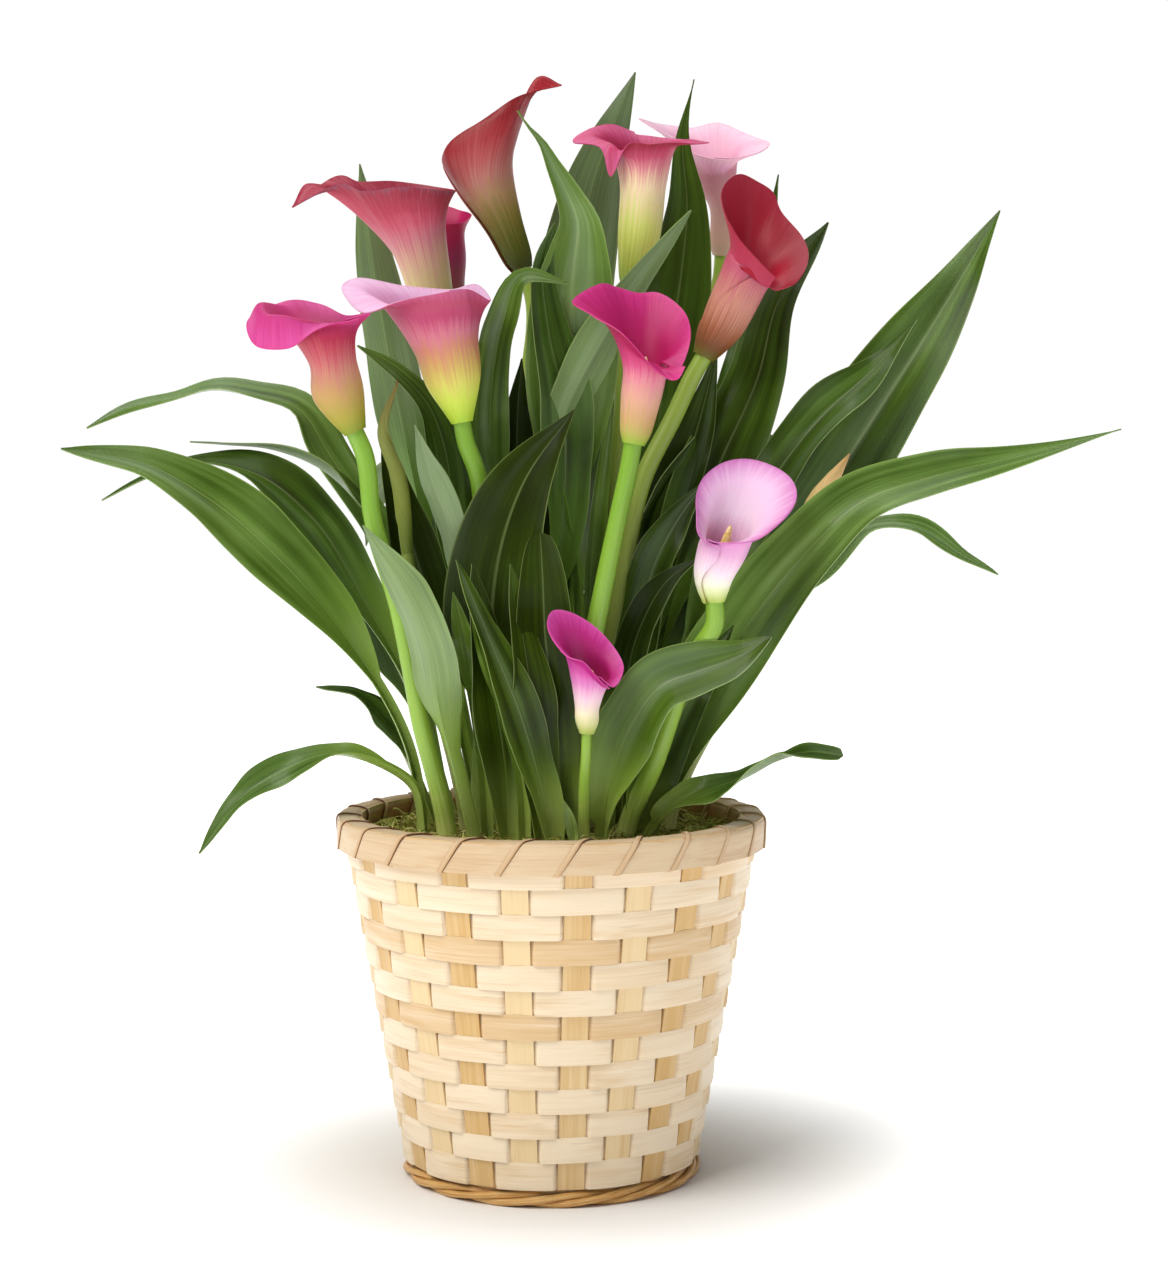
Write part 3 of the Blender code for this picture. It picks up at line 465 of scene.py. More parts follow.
class Graph:
    """The nodes of one material."""

    def __init__(self, name: str) -> None:
        """Start an empty material.

        Args:
            name: Name of the material.
        """
        self.material = bpy.data.materials.new(name)
        self.material.use_nodes = True
        self.tree = self.material.node_tree
        self.tree.nodes.clear()

    def node(self, kind: str, settings: dict[str, Any] | None = None,
             sockets: dict[str | int, Any] | None = None, out: int | str = 0) -> Wire:
        """Add a node.

        Args:
            kind: Its type.
            settings: Its own settings, set first; "stops" are a ramp's places and colours.
            sockets: Values or wires for its inputs.
            out: Which output to give back.

        Returns:
            The output.
        """
        item = self.tree.nodes.new(kind)
        for key, value in (settings or {}).items():
            if key == "stops":
                ramp = item.color_ramp
                while len(ramp.elements) < len(value):
                    ramp.elements.new(0.5)
                for element, (position, code) in zip(ramp.elements, value):
                    element.position = position
                    element.color = linear(code)
            else:
                setattr(item, key, value)
        for key, value in (sockets or {}).items():
            if isinstance(value, Wire):
                self.tree.links.new(value.socket, item.inputs[key])
            elif isinstance(value, str):
                item.inputs[key].default_value = linear(value)
            else:
                item.inputs[key].default_value = value
        return Wire(self, item.outputs[out])

    def math(self, operation: str, *values: Wire | float) -> Wire:
        """Run a Math node over the given values."""
        return self.node("ShaderNodeMath", {"operation": operation}, dict(enumerate(values)))

    def parts(self, vector: Wire) -> tuple[Wire, Wire, Wire]:
        """Split a vector into its three numbers.

        Args:
            vector: The vector.

        Returns:
            Its x, y and z.
        """
        split = self.node("ShaderNodeSeparateXYZ", None, {0: vector})
        outputs = split.socket.node.outputs
        return split, Wire(self, outputs[1]), Wire(self, outputs[2])

    def vector(self, x: Wire | float, y: Wire | float, z: Wire | float) -> Wire:
        """Make a vector of three numbers."""
        return self.node("ShaderNodeCombineXYZ", None, {0: x, 1: y, 2: z})

    def strip(self) -> tuple[Wire, Wire]:
        """Read the piece's own map: across it and along it."""
        across, along, _ = self.parts(self.node("ShaderNodeUVMap", {"uv_map": "strip"}))
        return across, along

    def place(self) -> Wire:
        """Read object coordinates."""
        return self.node("ShaderNodeTexCoord", None, None, "Object")

    def carried(self, name: str) -> Wire:
        """Read a value that the points carry."""
        return self.node("ShaderNodeAttribute", {"attribute_name": name}, None, "Fac")

    def noise(self, vector: Wire, scale: float = 1.0, detail: float = 3.0) -> Wire:
        """Read soft noise of about 0 to 1."""
        return self.node("ShaderNodeTexNoise", None,
                         {"Vector": vector, "Scale": scale, "Detail": detail})

    def grain(self, x: Wire | float, y: Wire | float, z: Wire | float = 0.0,
              detail: float = 3.0) -> Wire:
        """Read noise at three numbers; what is scaled up more is finer."""
        return self.noise(self.vector(x, y, z), 1.0, detail)

    def between(self, value: Wire, low: float, high: float) -> Wire:
        """Ease from 0 to 1 as the value goes from low to high."""
        return self.node("ShaderNodeMapRange", {"interpolation_type": "SMOOTHSTEP"},
                         {0: value, 1: low, 2: high})

    def mix(self, factor: Wire | float, first: Wire | str, second: Wire | str) -> Wire:
        """Mix two colours."""
        return self.node("ShaderNodeMix", {"data_type": "RGBA"},
                         {0: factor, 6: first, 7: second}, 2)

    def ramp(self, value: Wire, stops: Stops) -> Wire:
        """Read a run of colours."""
        return self.node("ShaderNodeValToRGB", {"stops": stops}, {0: value})

    def bump(self, height: Wire, distance: float, strength: float = 1.0) -> Wire:
        """Turn a height into a normal; the distance is in metres."""
        return self.node("ShaderNodeBump", None,
                         {"Height": height, "Distance": distance, "Strength": strength})

    def finished(self, colour: Wire, roughness: Wire | float, normal: Wire | None = None,
                 **constants: Any) -> bpy.types.Material:
        """Close the graph with the shader.

        Args:
            colour: Base colour.
            roughness: Roughness.
            normal: Normal, where there is one.
            **constants: Other inputs of the shader, with _ for a space.

        Returns:
            The material.
        """
        sockets: dict[str | int, Any] = {"Base Color": colour, "Roughness": roughness}
        sockets.update({key.replace("_", " "): value for key, value in constants.items()})
        if normal is not None:
            sockets["Normal"] = normal
        shader = self.node("ShaderNodeBsdfPrincipled", None, sockets)
        output = self.tree.nodes.new("ShaderNodeOutputMaterial")
        self.tree.links.new(shader.socket, output.inputs["Surface"])
        return self.material


class Grain(Enum):
    """Which way the fibres of a splint run."""

    STRIP = "along the piece's own map"
    STAKE = "up the wall"
    HOOP = "round the rim"


@dataclass(frozen=True)
class Splint:
    """Split bamboo: fine long fibres, a tone for each length, a few darker streaks, and a painted
    shadow where the tone runs high.
    """

    name: str
    pale: str
    tan: str
    grain: Grain = Grain.STRIP
    roughness: float = 0.5
    relief: float = 0.00012     # in metres, as for every finish
    dark: str = "#A77B45"
    shadow: str = "#5E3B1E"     # painted shadow: for a tone over 1.3, which marks a shaded edge or an inner face

    def material(self) -> bpy.types.Material:
        """Build it: noise drawn out along the grain sets colour, gloss and a low relief.

        Returns:
            The material.
        """
        graph = Graph(self.name)
        if self.grain is Grain.STRIP:
            across, along = graph.strip()
            tone = graph.carried("tone")
        else:
            x, y, z = graph.parts(graph.place())
            turn = graph.math("ARCTAN2", y, x)
            if self.grain is Grain.STAKE:
                across, along = turn * 0.08, z
                first = (90.0 - STAKE_TURN) * STAKES / 360.0
                stake = graph.math("ROUND", turn * (STAKES / math.tau) + first)
                stake = graph.math("FLOORED_MODULO", stake, float(STAKES))
                tone = graph.node("ShaderNodeTexWhiteNoise", {"noise_dimensions": "1D"},
                                  {"W": stake})
            else:
                across, along = z, turn * 0.085
                tone = graph.grain(along * 20.0, 0.0)
        fibres = graph.grain(across * 1500.0, along * 26.0, tone * 9.0, 4.0)
        broad = graph.grain(across * 260.0, along * 14.0, tone * 5.0, 2.0)
        streak = graph.between(graph.grain(across * 700.0, along * 9.0, tone * 7.0), 0.62, 0.76)
        shade = tone * 0.75 + (fibres - 0.5) * 0.7 + (broad - 0.5) * 0.9 + 0.1
        colour = graph.mix(graph.between(shade, 0.0, 1.0), self.pale, self.tan)
        colour = graph.mix(streak * 0.28, colour, self.dark)
        # painted shadow where the tone runs over 1.3, along each lace's right edge
        colour = graph.mix(graph.between(tone, 1.3, 2.0), colour, self.shadow)
        normal = graph.bump(fibres + broad * 0.5, self.relief, 0.8)
        return graph.finished(colour, fibres * 0.25 + (self.roughness - 0.12), normal,
                              Specular_IOR_Level=0.35)


@dataclass(frozen=True)
class Cane:
    """Round golden cane with long fibres and darker toasted patches along it."""

    name: str = "golden_cane"
    stops: Stops = ((0.25, "#8A5A26"), (0.45, "#C79450"), (0.6, "#DDB271"), (0.8, "#F0D29C"))
    relief: float = 0.0003

    def material(self) -> bpy.types.Material:
        """Build it: fibres along each strand between straw and a toasted brown.

        Returns:
            The material.
        """
        graph = Graph(self.name)
        across, along = graph.strip()
        tone = graph.carried("tone")
        fibres = graph.grain(across * 1500.0, along * 45.0, tone * 8.0, 4.0)
        toast = graph.grain(along * 60.0, tone * 5.0)
        colour = graph.ramp(fibres * 0.75 + toast * 0.25, self.stops)
        return graph.finished(colour, 0.42, graph.bump(fibres, self.relief),
                              Specular_IOR_Level=0.4)


@dataclass(frozen=True)
class Ground:
    """A crumbly or moulded surface that hardly shows: two colours, their scale, a relief."""

    name: str
    dark: str
    light: str
    scale: float
    roughness: float
    relief: float

    def material(self) -> bpy.types.Material:
        """Build it: soft noise over object coordinates mixes the colours and lifts the relief.

        Returns:
            The material.
        """
        graph = Graph(self.name)
        grains = graph.noise(graph.place(), self.scale, 5.0)
        colour = graph.mix(graph.between(grains, 0.35, 0.68), self.dark, self.light)
        return graph.finished(colour, grains * 0.1 + (self.roughness - 0.05),
                              graph.bump(grains, self.relief))


@dataclass(frozen=True)
class Backlit:
    """White floor: no glow under the plant, a full one farther away, so that it ends unseen."""

    name: str = "backlit_floor"
    start: float = 0.07     # distance from the middle, in metres, up to which nothing glows
    full: float = 0.26      # distance from which the floor glows fully

    def material(self) -> bpy.types.Material:
        """Build it: the glow grows with the distance from the middle.

        Returns:
            The material.
        """
        graph = Graph(self.name)
        away = graph.node("ShaderNodeVectorMath", {"operation": "LENGTH"}, {0: graph.place()},
                          "Value")
        glow = graph.between(away, self.start, self.full)
        colour = graph.mix(graph.noise(graph.place(), 3.0), "#F6F6F6", "#FBFBFB")
        return graph.finished(colour, 0.9, None, Emission_Color=glow, Emission_Strength=1.0)


@dataclass(frozen=True)
class Moss:
    """Dried sheet moss: green tips among brown and straw stalks."""

    name: str = "sheet_moss"
    stops: Stops = ((0.15, "#5C4A22"), (0.32, "#857430"), (0.46, "#8E9238"), (0.62, "#B0B854"),
                    (0.9, "#D8C88C"))
    relief: float = 0.0006

    def material(self) -> bpy.types.Material:
        """Build it: each sprig's tone and a patchy noise pick from brown, olive and green.

        Returns:
            The material.
        """
        graph = Graph(self.name)
        patch = graph.noise(graph.place(), 90.0, 3.0)
        colour = graph.ramp(graph.carried("tone") * 0.65 + patch * 0.45, self.stops)
        return graph.finished(colour, 0.85, graph.bump(patch, self.relief))


@dataclass(frozen=True)
class LeafSkin:
    """Calla leaf: satin green with veins that follow the blade, a paler rib and back."""

    name: str = "calla_leaf"
    cool: Stops = ((0.0, "#0E1602"), (0.22, "#202D07"), (0.45, "#3A551B"), (0.7, "#607F42"),
                   (0.88, "#88A274"), (1.0, "#AEBFA2"))
    warm: Stops = ((0.0, "#111702"), (0.22, "#283604"), (0.45, "#496214"), (0.7, "#708D30"),
                   (0.88, "#96AD58"), (1.0, "#B8C888"))
    stalk: Stops = ((0.0, "#A8B660"), (0.12, "#86A23E"), (0.5, "#5A7E2A"))
    # colour of the painted sheen on the lighter leaves
    painted_sheen: str = "#9AAF92"
    rib: str = "#A9BE78"
    margin: str = "#A3B568"
    back: tuple[str, str] = ("#7C9468", "#A6B692")
    veins: float = 54.0         # radians of their sine from the rib to the margin
    relief: float = 0.0002

    def material(self) -> bpy.types.Material:
        """Build it from the blade's map and what each leaf carries.

        Veins are thin lines at even shares of the half width, so that they meet at the tip.
        "shade" goes from dark to light, partly the leaf's own colour and partly painted shade that
        is low for leaves deep in the clump; "warmth" goes from blue green to olive, "pale" tells
        how far the back is bleached and "blade" is 0 in the stalk and 1 in the blade. Light areas
        carry a painted grey sheen and more gloss.

        Returns:
            The material.
        """
        graph = Graph(self.name)
        across, along = graph.strip()
        off = graph.math("ABSOLUTE", across - 0.5) * 2.0
        # shade is partly painted shade: leaves deep in the clump carry low values
        shade, warmth = graph.carried("shade"), graph.carried("warmth")
        blade, back = graph.carried("blade"), graph.carried("under")
        wobble = graph.grain(across * 3.0, along * 5.0, shade * 40.0, 2.0)
        lines = graph.math("SINE", off * self.veins + wobble * 5.0)
        fine = graph.grain(off * 70.0, along * 6.0, shade * 20.0, 3.0)
        veins = graph.between(lines, 0.5, 1.0) * fine
        bands = graph.grain(across * 7.0, along * 2.6, shade * 30.0, 2.0)
        patch = graph.noise(graph.place(), 26.0, 2.0)
        light = (shade + (patch - 0.5) * 0.4 + (fine - 0.5) * 0.13
                 + (bands - 0.5) * (shade * 0.8 + 0.2) + veins * 0.05)
        colour = graph.mix(warmth, graph.ramp(light, self.cool), graph.ramp(light, self.warm))
        # painted sheen: grey-green patches, stronger the lighter the leaf
        painted_sheen = graph.between(graph.grain(across * 2.2, along * 1.7, shade * 50.0, 1.0), 0.5, 0.72)
        colour = graph.mix(painted_sheen * (shade * 0.45), colour, self.painted_sheen)
        rib = graph.between(off, 0.06, 0.0)
        colour = graph.mix(rib * (blade * 0.2), colour, self.rib)
        colour = graph.mix(graph.between(off, 0.95, 1.0) * 0.35, colour, self.margin)
        bleached = graph.mix(graph.between(fine, 0.3, 0.75), *self.back)
        colour = graph.mix(back * graph.carried("pale"), colour, bleached)
        stalk = graph.ramp(along + (fine - 0.5) * 0.2, self.stalk)
        colour = graph.mix((1.0 - blade) * 0.9, colour, stalk)
        height = veins * 0.45 + rib * 1.5 * (back - 0.5) + fine * 0.3
        return graph.finished(colour, fine * 0.16 + 0.27, graph.bump(height, self.relief),
                              Specular_IOR_Level=0.05, Coat_Weight=shade * 0.6,
                              Coat_Roughness=0.25)


@dataclass(frozen=True)
class StemSkin:
    """Flower stem: smooth bright green with fine stripes, paler at the foot."""

    name: str
    stops: Stops
    relief: float = 0.0002

    def material(self) -> bpy.types.Material:
        """Build it: colours up the stem, drawn-out noise for the stripes.

        Returns:
            The material.
        """
        graph = Graph(self.name)
        across, along = graph.strip()
        stripes = graph.grain(across * 900.0, along * 20.0)
        patch = graph.grain(0.0, along * 40.0)
        share = along * 3.2 + (stripes - 0.5) * 0.3 + (patch - 0.5) * 0.25
        return graph.finished(graph.ramp(share, self.stops), stripes * 0.2 + 0.28,
                              graph.bump(stripes, self.relief), Specular_IOR_Level=0.45,
                              Coat_Weight=0.1, Coat_Roughness=0.25)


@dataclass(frozen=True)
class SpatheSkin:
    """Satin petal: a run of colours from its foot to its lip, inside and out, with streaks."""

    name: str
    outside: Stops
    inside: Stops
    streak: float = 0.16
    vein: str = "#A02048"
    veining: float = 0.18
    edge: str = "#C03070"
    edging: float = 0.2
    relief: float = 0.00011

    def material(self) -> bpy.types.Material:
        """Build it: noise that is long up the petal shifts the run, and thin veins cross it.

        Returns:
            The material.
        """
        graph = Graph(self.name)
        across, along = graph.strip()
        streaks = graph.grain(across * 46.0, along * 1.3, 0.0, 4.0)
        thread = graph.grain(across * 95.0, along * 2.4, 3.0, 2.0)
        share = along + (streaks - 0.5) * (self.streak * 2.0)
        colour = graph.mix(graph.carried("under"), graph.ramp(share, self.inside),
                           graph.ramp(share, self.outside))
        strength = graph.between(thread, 0.5, 0.75) * graph.between(along, 0.2, 0.7)
        colour = graph.mix(strength * self.veining, colour, self.vein)
        colour = graph.mix(graph.between(along, 0.965, 1.0) * self.edging, colour, self.edge)
        return graph.finished(colour, streaks * 0.15 + 0.36,
                              graph.bump(thread + streaks * 0.6, self.relief),
                              Subsurface_Weight=0.15, Subsurface_Scale=0.003,
                              Specular_IOR_Level=0.28)


@dataclass(frozen=True)
class SpadixSkin:
    """Pollen-yellow spadix, orange in its dimples."""

    name: str = "yellow_spadix"
    cells: float = 900.0        # to the metre
    tip: str = "#FAEDB4"
    dimple: str = "#E6C468"
    relief: float = 0.0004

    def material(self) -> bpy.types.Material:
        """Build it: cells over object coordinates.

        Returns:
            The material.
        """
        graph = Graph(self.name)
        cells = graph.node("ShaderNodeTexVoronoi", None,
                           {"Vector": graph.place(), "Scale": self.cells})
        colour = graph.mix(graph.between(cells, 0.1, 0.7), self.tip, self.dimple)
        return graph.finished(colour, 0.6, graph.bump(1.0 - cells, self.relief))


# ---- basket ----


def wall_radius(z: np.ndarray | float) -> np.ndarray:
    """Radius of the middle of the stakes at a height."""
    return WALL_FOOT + WALL_SLOPE * z


def stake_angle(k: np.ndarray | float) -> np.ndarray:
    """Angle round +Z of stake k, or of a place between two stakes, counted from the front."""
    return math.radians(STAKE_TURN - 90.0) + 2.0 * math.pi * np.asarray(k) / STAKES


def around(radius: np.ndarray, angle: np.ndarray, z: np.ndarray) -> np.ndarray:
    """Points at a radius, an angle and a height."""
    return np.stack(np.broadcast_arrays(radius * np.cos(angle), radius * np.sin(angle), z), axis=-1)


@dataclass
class Weave:
    """The weaver: one splint that passes in front of a stake and behind the next."""

    thickness: float = 0.6
    outward: float = 1.25
    inward: float = 0.85
    bulge: float = 0.35               # how much more it stands out where it crosses a stake
    crown: float = 0.3
    upright: float = 0.6              # 0 where a row leans with the wall, 1 where it is upright
    overlap: float = 0.1              # how far a row reaches over the next
    sag: float = 1.2                  # how much lower the first edge lies
    rough: float = 0.28
    columns: int = 9
    dive: Pair = (0.17, 0.44)         # where it goes behind a stake, in pitches from that stake
    clear: float = 0.2                # how far from a stake's edge it is fully behind
    slope: float = 1.6                # width of its way out
    map_pitch: float = 22.0
    map_width: float = 10.2
    row_tones: tuple[float, ...] = (0.30, 0.12, 0.34, 0.16, 0.30, 0.14, 0.72, 0.10, 0.28, 0.78,
                                    0.34, 0.16, 0.30, 0.30)

    def climb(self, turn: np.ndarray) -> np.ndarray:
        """Rows that an edge has climbed after a number of turns: a stair, a row a turn.

        Args:
            turn: Turns from the strip's start.

        Returns:
            Rows, none before the first full turn.
        """
        whole = np.floor(turn)
        climbed = whole - 1.0 + smooth((turn - whole) / STEP_SHARE)
        return np.clip(np.where(turn < 1.0, 0.0, climbed), 0.0, ROWS)

    def edge(self, turn: np.ndarray) -> np.ndarray:
        """Height of the line between a row and the one below it, a little uneven.

        Args:
            turn: Turns from the strip's start.

        Returns:
            Heights.
        """
        return (ROWS_START - self.sag * (turn < 1.0) + ROW_PITCH * self.climb(turn)
                + self.rough * waver(turn, 3, (3.1, 5.3, 8.9)))

    def swing(self, stake: np.ndarray, z: np.ndarray) -> np.ndarray:
        """How far outside the stakes' middle it runs; it dips behind every other stake.

        Args:
            stake: Place along the wall, in pitches of the stakes.
            z: Height.

        Returns:
            Distances.
        """
        off = np.abs(stake % 2.0 - 1.0)
        pitch = 2.0 * np.pi * wall_radius(z) / STAKES
        out = smooth((off - (STAKE_WIDTH / 2.0 + self.clear) / pitch) / (self.slope / pitch))
        return -self.inward + (self.outward + self.inward - self.bulge * (1.0 - off) ** 2) * out

    def shell(self) -> Shell:
        """Carry a crowned section along the spiral.

        The outer face stands half the thickness out, less a crown that grows with the
        cube of the distance from the strip's middle line. The radius is the wall's at a
        height between the point's own and that of the middle line. Stations are close
        together where the strip dives behind a stake.

        Returns:
            The skin.
        """
        first = math.ceil((STEP_START + 90.0 - STAKE_TURN) / 360.0 * STAKES)
        dive = np.linspace(*self.dive, 10)
        period = np.concatenate([[0.0], dive, [0.55, 0.8, 1.0, 1.2, 1.45], 2.0 - dive[::-1]])
        last = (ROWS + STEP_SHARE) * STAKES - 1.0
        stake = (1.0 + 2.0 * np.arange(0.0, last / 2.0)[:, None] + period).ravel()
        stake = stake[stake <= last][:, None]
        turn = stake / STAKES
        share = np.linspace(0.0, 1.0, self.columns)[None, :]
        low, high = self.edge(turn) - self.overlap, self.edge(turn + 1.0) + self.overlap
        z = low + (high - low) * share
        level = z + (0.5 * (low + high) - z) * self.upright
        middle = wall_radius(level) + self.swing(stake, z)
        dip = self.crown * np.abs(2.0 * share - 1.0) ** 3
        angle = stake_angle(stake + first)
        tone = np.asarray(self.row_tones)[np.minimum(turn.astype(int), len(self.row_tones) - 1)]
        half = self.thickness / 2.0
        return Shell.slab(around(middle + half - dip, angle, z), around(middle - half, angle, z),
                          uv=pairs(share * self.map_width * MM, stake * self.map_pitch * MM),
                          tone=tone + 0.16 * waver(stake, 8, (0.043, 0.21, 0.37)))


@dataclass
class Rim:
    """Folded band over the top of the wall, and the lacing that holds it."""

    low: float = 141.4
    top: float = 154.4
    outside: float = 91.2
    inside: float = 80.2
    wall: float = 1.0
    bend: float = 4.5         # height of the rounded top
    power: float = 2.0 / 3.4  # of the superellipse there
    rough: float = 0.16
    face: float = 0.36        # share of the fold that is its outer face
    lace_width: float = 2.7
    lace: float = 0.7
    slant: float = 5.6        # degrees that a lace moves on as it climbs the outer face
    tuck: Pair = (3.0, 0.9)   # how far a lace's ends go in and down under the band
    seen: tuple[float, ...] = (-46.4, -28.7, -13.0, 1.8, 17.1, 32.5)
    laces: int = 23
    lace_crown: float = 0.35  # how far a lace's edges dip
    lace_tone: float = 0.42
    lace_shadow: float = 1.6    # painted shadow: how much darker its right edge is
    tone: float = 0.12
    shadow: float = 0.95      # painted shade, and partly the inner skin's own tan: how much darker the inner face is

    def section(self, count: int, proud: float) -> tuple[np.ndarray, np.ndarray]:
        """Follow the fold from the foot of its outer face over the top and down inside.

        Two straight legs are joined by half of a superellipse.

        Args:
            count: How many points to take.
            proud: How far outside the band's face they stand.

        Returns:
            Radii and heights.
        """
        bend = np.linspace(0.0, np.pi, 41)
        middle, half = (self.outside + self.inside) / 2.0, (self.outside - self.inside) / 2.0
        flat = np.cos(bend)
        r = middle + (half + proud) * np.sign(flat) * np.abs(flat) ** self.power
        z = self.top - self.bend + (self.bend + proud) * np.abs(np.sin(bend)) ** self.power
        r = np.concatenate([[r[0], r[0]], r, [r[-1], r[-1]]])
        z = np.concatenate([[self.low, (self.low + z[0]) / 2.0], z,
                            [(self.low + z[-1]) / 2.0, self.low]])
        run = lengths(pairs(r, z))
        even = sample(np.linspace(0.0, run[-1], count), run, pairs(r, z))
        return even[:, 0], even[:, 1]

    def band(self) -> Shell:
        """Turn the folded section about the axis, its outer face a little uneven and its inner face
        darker, which is painted shade and partly the inner skin's own tan.

        Returns:
            The skin.
        """
        count = 40
        angle = full_turn(240)[:, None]
        outer_r, outer_z = self.section(count, 0.0)
        inner_r, inner_z = self.section(count, -self.wall)
        inner_r, inner_z = inner_r[::-1], np.maximum(inner_z[::-1], self.low)
        rough = self.rough * waver(angle / np.pi, 5, (3.0, 7.0, 11.0))
        r = np.concatenate([outer_r, inner_r])[None, :] + rough
        z = np.concatenate([outer_z, inner_z])[None, :] + rough
        side = np.linspace(0.0, 1.0, count)
        side = np.concatenate([side, side[::-1]])[None, :]
        # the inner face is darker: painted shade, and partly the inner skin's own tan
        tone = (self.tone + self.shadow * smooth((side - 0.5) / 0.2)
                + 0.14 * waver(angle / np.pi, 6, (2.0, 5.0)))
        return Shell.tube(around(r, angle, z), looped=True, tone=tone,
                          uv=pairs(side * 0.034, np.sin(angle / 2.0) * 0.36))

    def lacing(self) -> Shell:
        """Lay each lace over the band, slanting to the right as it climbs outside.

        The visible laces stand at the given angles, and the others fill the rest of the
        turn evenly. A lace is crowned across: its edges dip with the cube of the distance.
        Its right edge is darkened as a painted shadow.

        Returns:
            The skin.
        """
        spare = 360.0 + self.seen[0] - self.seen[-1]
        others = self.laces - len(self.seen)
        rest = self.seen[-1] + spare * np.arange(1, others + 1) / (others + 1)
        starts = np.radians(np.concatenate([self.seen, rest]) - 90.0)[:, None, None]
        count, columns = 44, 7
        share = np.linspace(0.0, 1.0, columns)
        run = np.linspace(0.0, 1.0, count + 2)[:, None]
        inward, down = self.tuck
        faces = []
        for proud in (self.lace, 0.0):
            r, z = self.section(count, proud)
            r = np.concatenate([[r[0] - inward], r, [r[-1] + inward]])[:, None]
            z = np.concatenate([[z[0] - down], z, [z[-1] - down]])[:, None]
            move = math.radians(self.slant) * run / self.face
            half = (share - 0.5) * self.lace_width / self.outside
            dip = self.lace_crown * np.abs(2.0 * share - 1.0) ** 3 * (proud > 0.0)
            faces.append(around(r - dip, starts + move + half, z))
        # painted shadow: the right edge of each lace is darkened
        tone = self.lace_tone + self.lace_shadow * (share == 1.0)
        uv = pairs(share * self.lace_width * MM, run * 0.04)
        return Shell.joined([Shell.slab(top, under, uv=uv, tone=tone)
                             for top, under in zip(*faces)])


@dataclass
class Foot:
    """Three canes twisted together round the bottom of the wall."""

    strands: int = 3
    radius: float = 60.7
    height: float = 3.3
    cane: float = 1.5
    orbit: float = 1.75
    twists: int = 5
    hoop: tuple[Pair, ...] = ((57.9, 1.0), (58.8, 1.0), (59.6, 5.0), (59.9, 9.6), (58.6, 9.6))

    def strand(self, number: int) -> Shell:
        """Carry a round section along a helix that closes on itself.

        Args:
            number: Which strand it is, from zero.

        Returns:
            The skin.
        """
        sides = 14
        turn = full_turn(420)
        twist = self.twists * turn + 2.0 * np.pi * number / self.strands
        radius = self.radius + self.orbit * np.cos(twist)
        middle = around(radius, turn, self.height + self.orbit * np.sin(twist))
        along = unit(np.roll(middle, -1, axis=0) - np.roll(middle, 1, axis=0))
        outward = unit(np.cross(along, [0.0, 0.0, 1.0]))
        uneven = 0.08 * waver(turn / (2.0 * np.pi), 20 + number, (5.0, 13.0, 21.0))
        size = self.cane * (1.0 + uneven)[:, None]
        run = 0.2 * np.abs(np.sin(turn / 2.0))[:, None]
        return Shell.tube(rings(middle, outward, np.cross(outward, along), size, sides),
                          looped=True, tone=number / self.strands,
                          uv=pairs(folded(sides) * 0.005, run))

    def lining(self) -> Shell:
        """Turn a flat hoop that stands behind the canes and closes the wall's lower edge.

        Returns:
            The skin.
        """
        angle = full_turn(180)[:, None]
        r, z = np.array(self.hoop).T
        return Shell.tube(around(r, angle, z), looped=True, tone=0.9,
                          uv=pairs(z * MM, np.sin(angle / 2.0) * 0.36))


@dataclass
class Basket:
    """Splint basket: stakes, weaver, rim and foot."""

    weave: Weave = field(default_factory=Weave)
    rim: Rim = field(default_factory=Rim)
    foot: Foot = field(default_factory=Foot)
    weaver: Splint = Splint("bleached_weaver", "#E8D6BA", "#CFAC7A", roughness=0.4)
    stake: Splint = Splint("splint_stakes", "#E2C99C", "#CBA468", Grain.STAKE)
    band: Splint = Splint("rim_band", "#D2BA98", "#B38452", roughness=0.45)
    hoop: Splint = Splint("rim_hoops", "#D8BC90", "#B98F5A", Grain.HOOP)
    cane: Cane = Cane()

    def build(self) -> None:
        """Make the new pieces and dress the solids that stay."""
        weaver = self.weaver.material()
        place("splint_weave", self.weave.shell(), weaver, "weaver_bamboo", ("weaver_strip",),
              50.0)
        band = self.band.material()
        place("rim_fold", self.rim.band(), band, "rim_bamboo", ("rim_lashing",), 40.0)
        place("rim_lacing", self.rim.lacing(), band, "rim_bamboo", (), 50.0)
        place("foot_lining", self.foot.lining(), weaver, "foot_cord")
        cane = self.cane.material()
        for number in range(self.foot.strands):
            place(f"foot_cane_{number + 1}", self.foot.strand(number), cane, "foot_cord",
                  (f"foot_strand_{number + 1}",))
        dress("splint_frame", self.stake.material())
        hoop = self.hoop.material()
        for node in ("rim_hoop_outer", "rim_hoop_inner"):
            dress(node, hoop)


# ---- pot ----


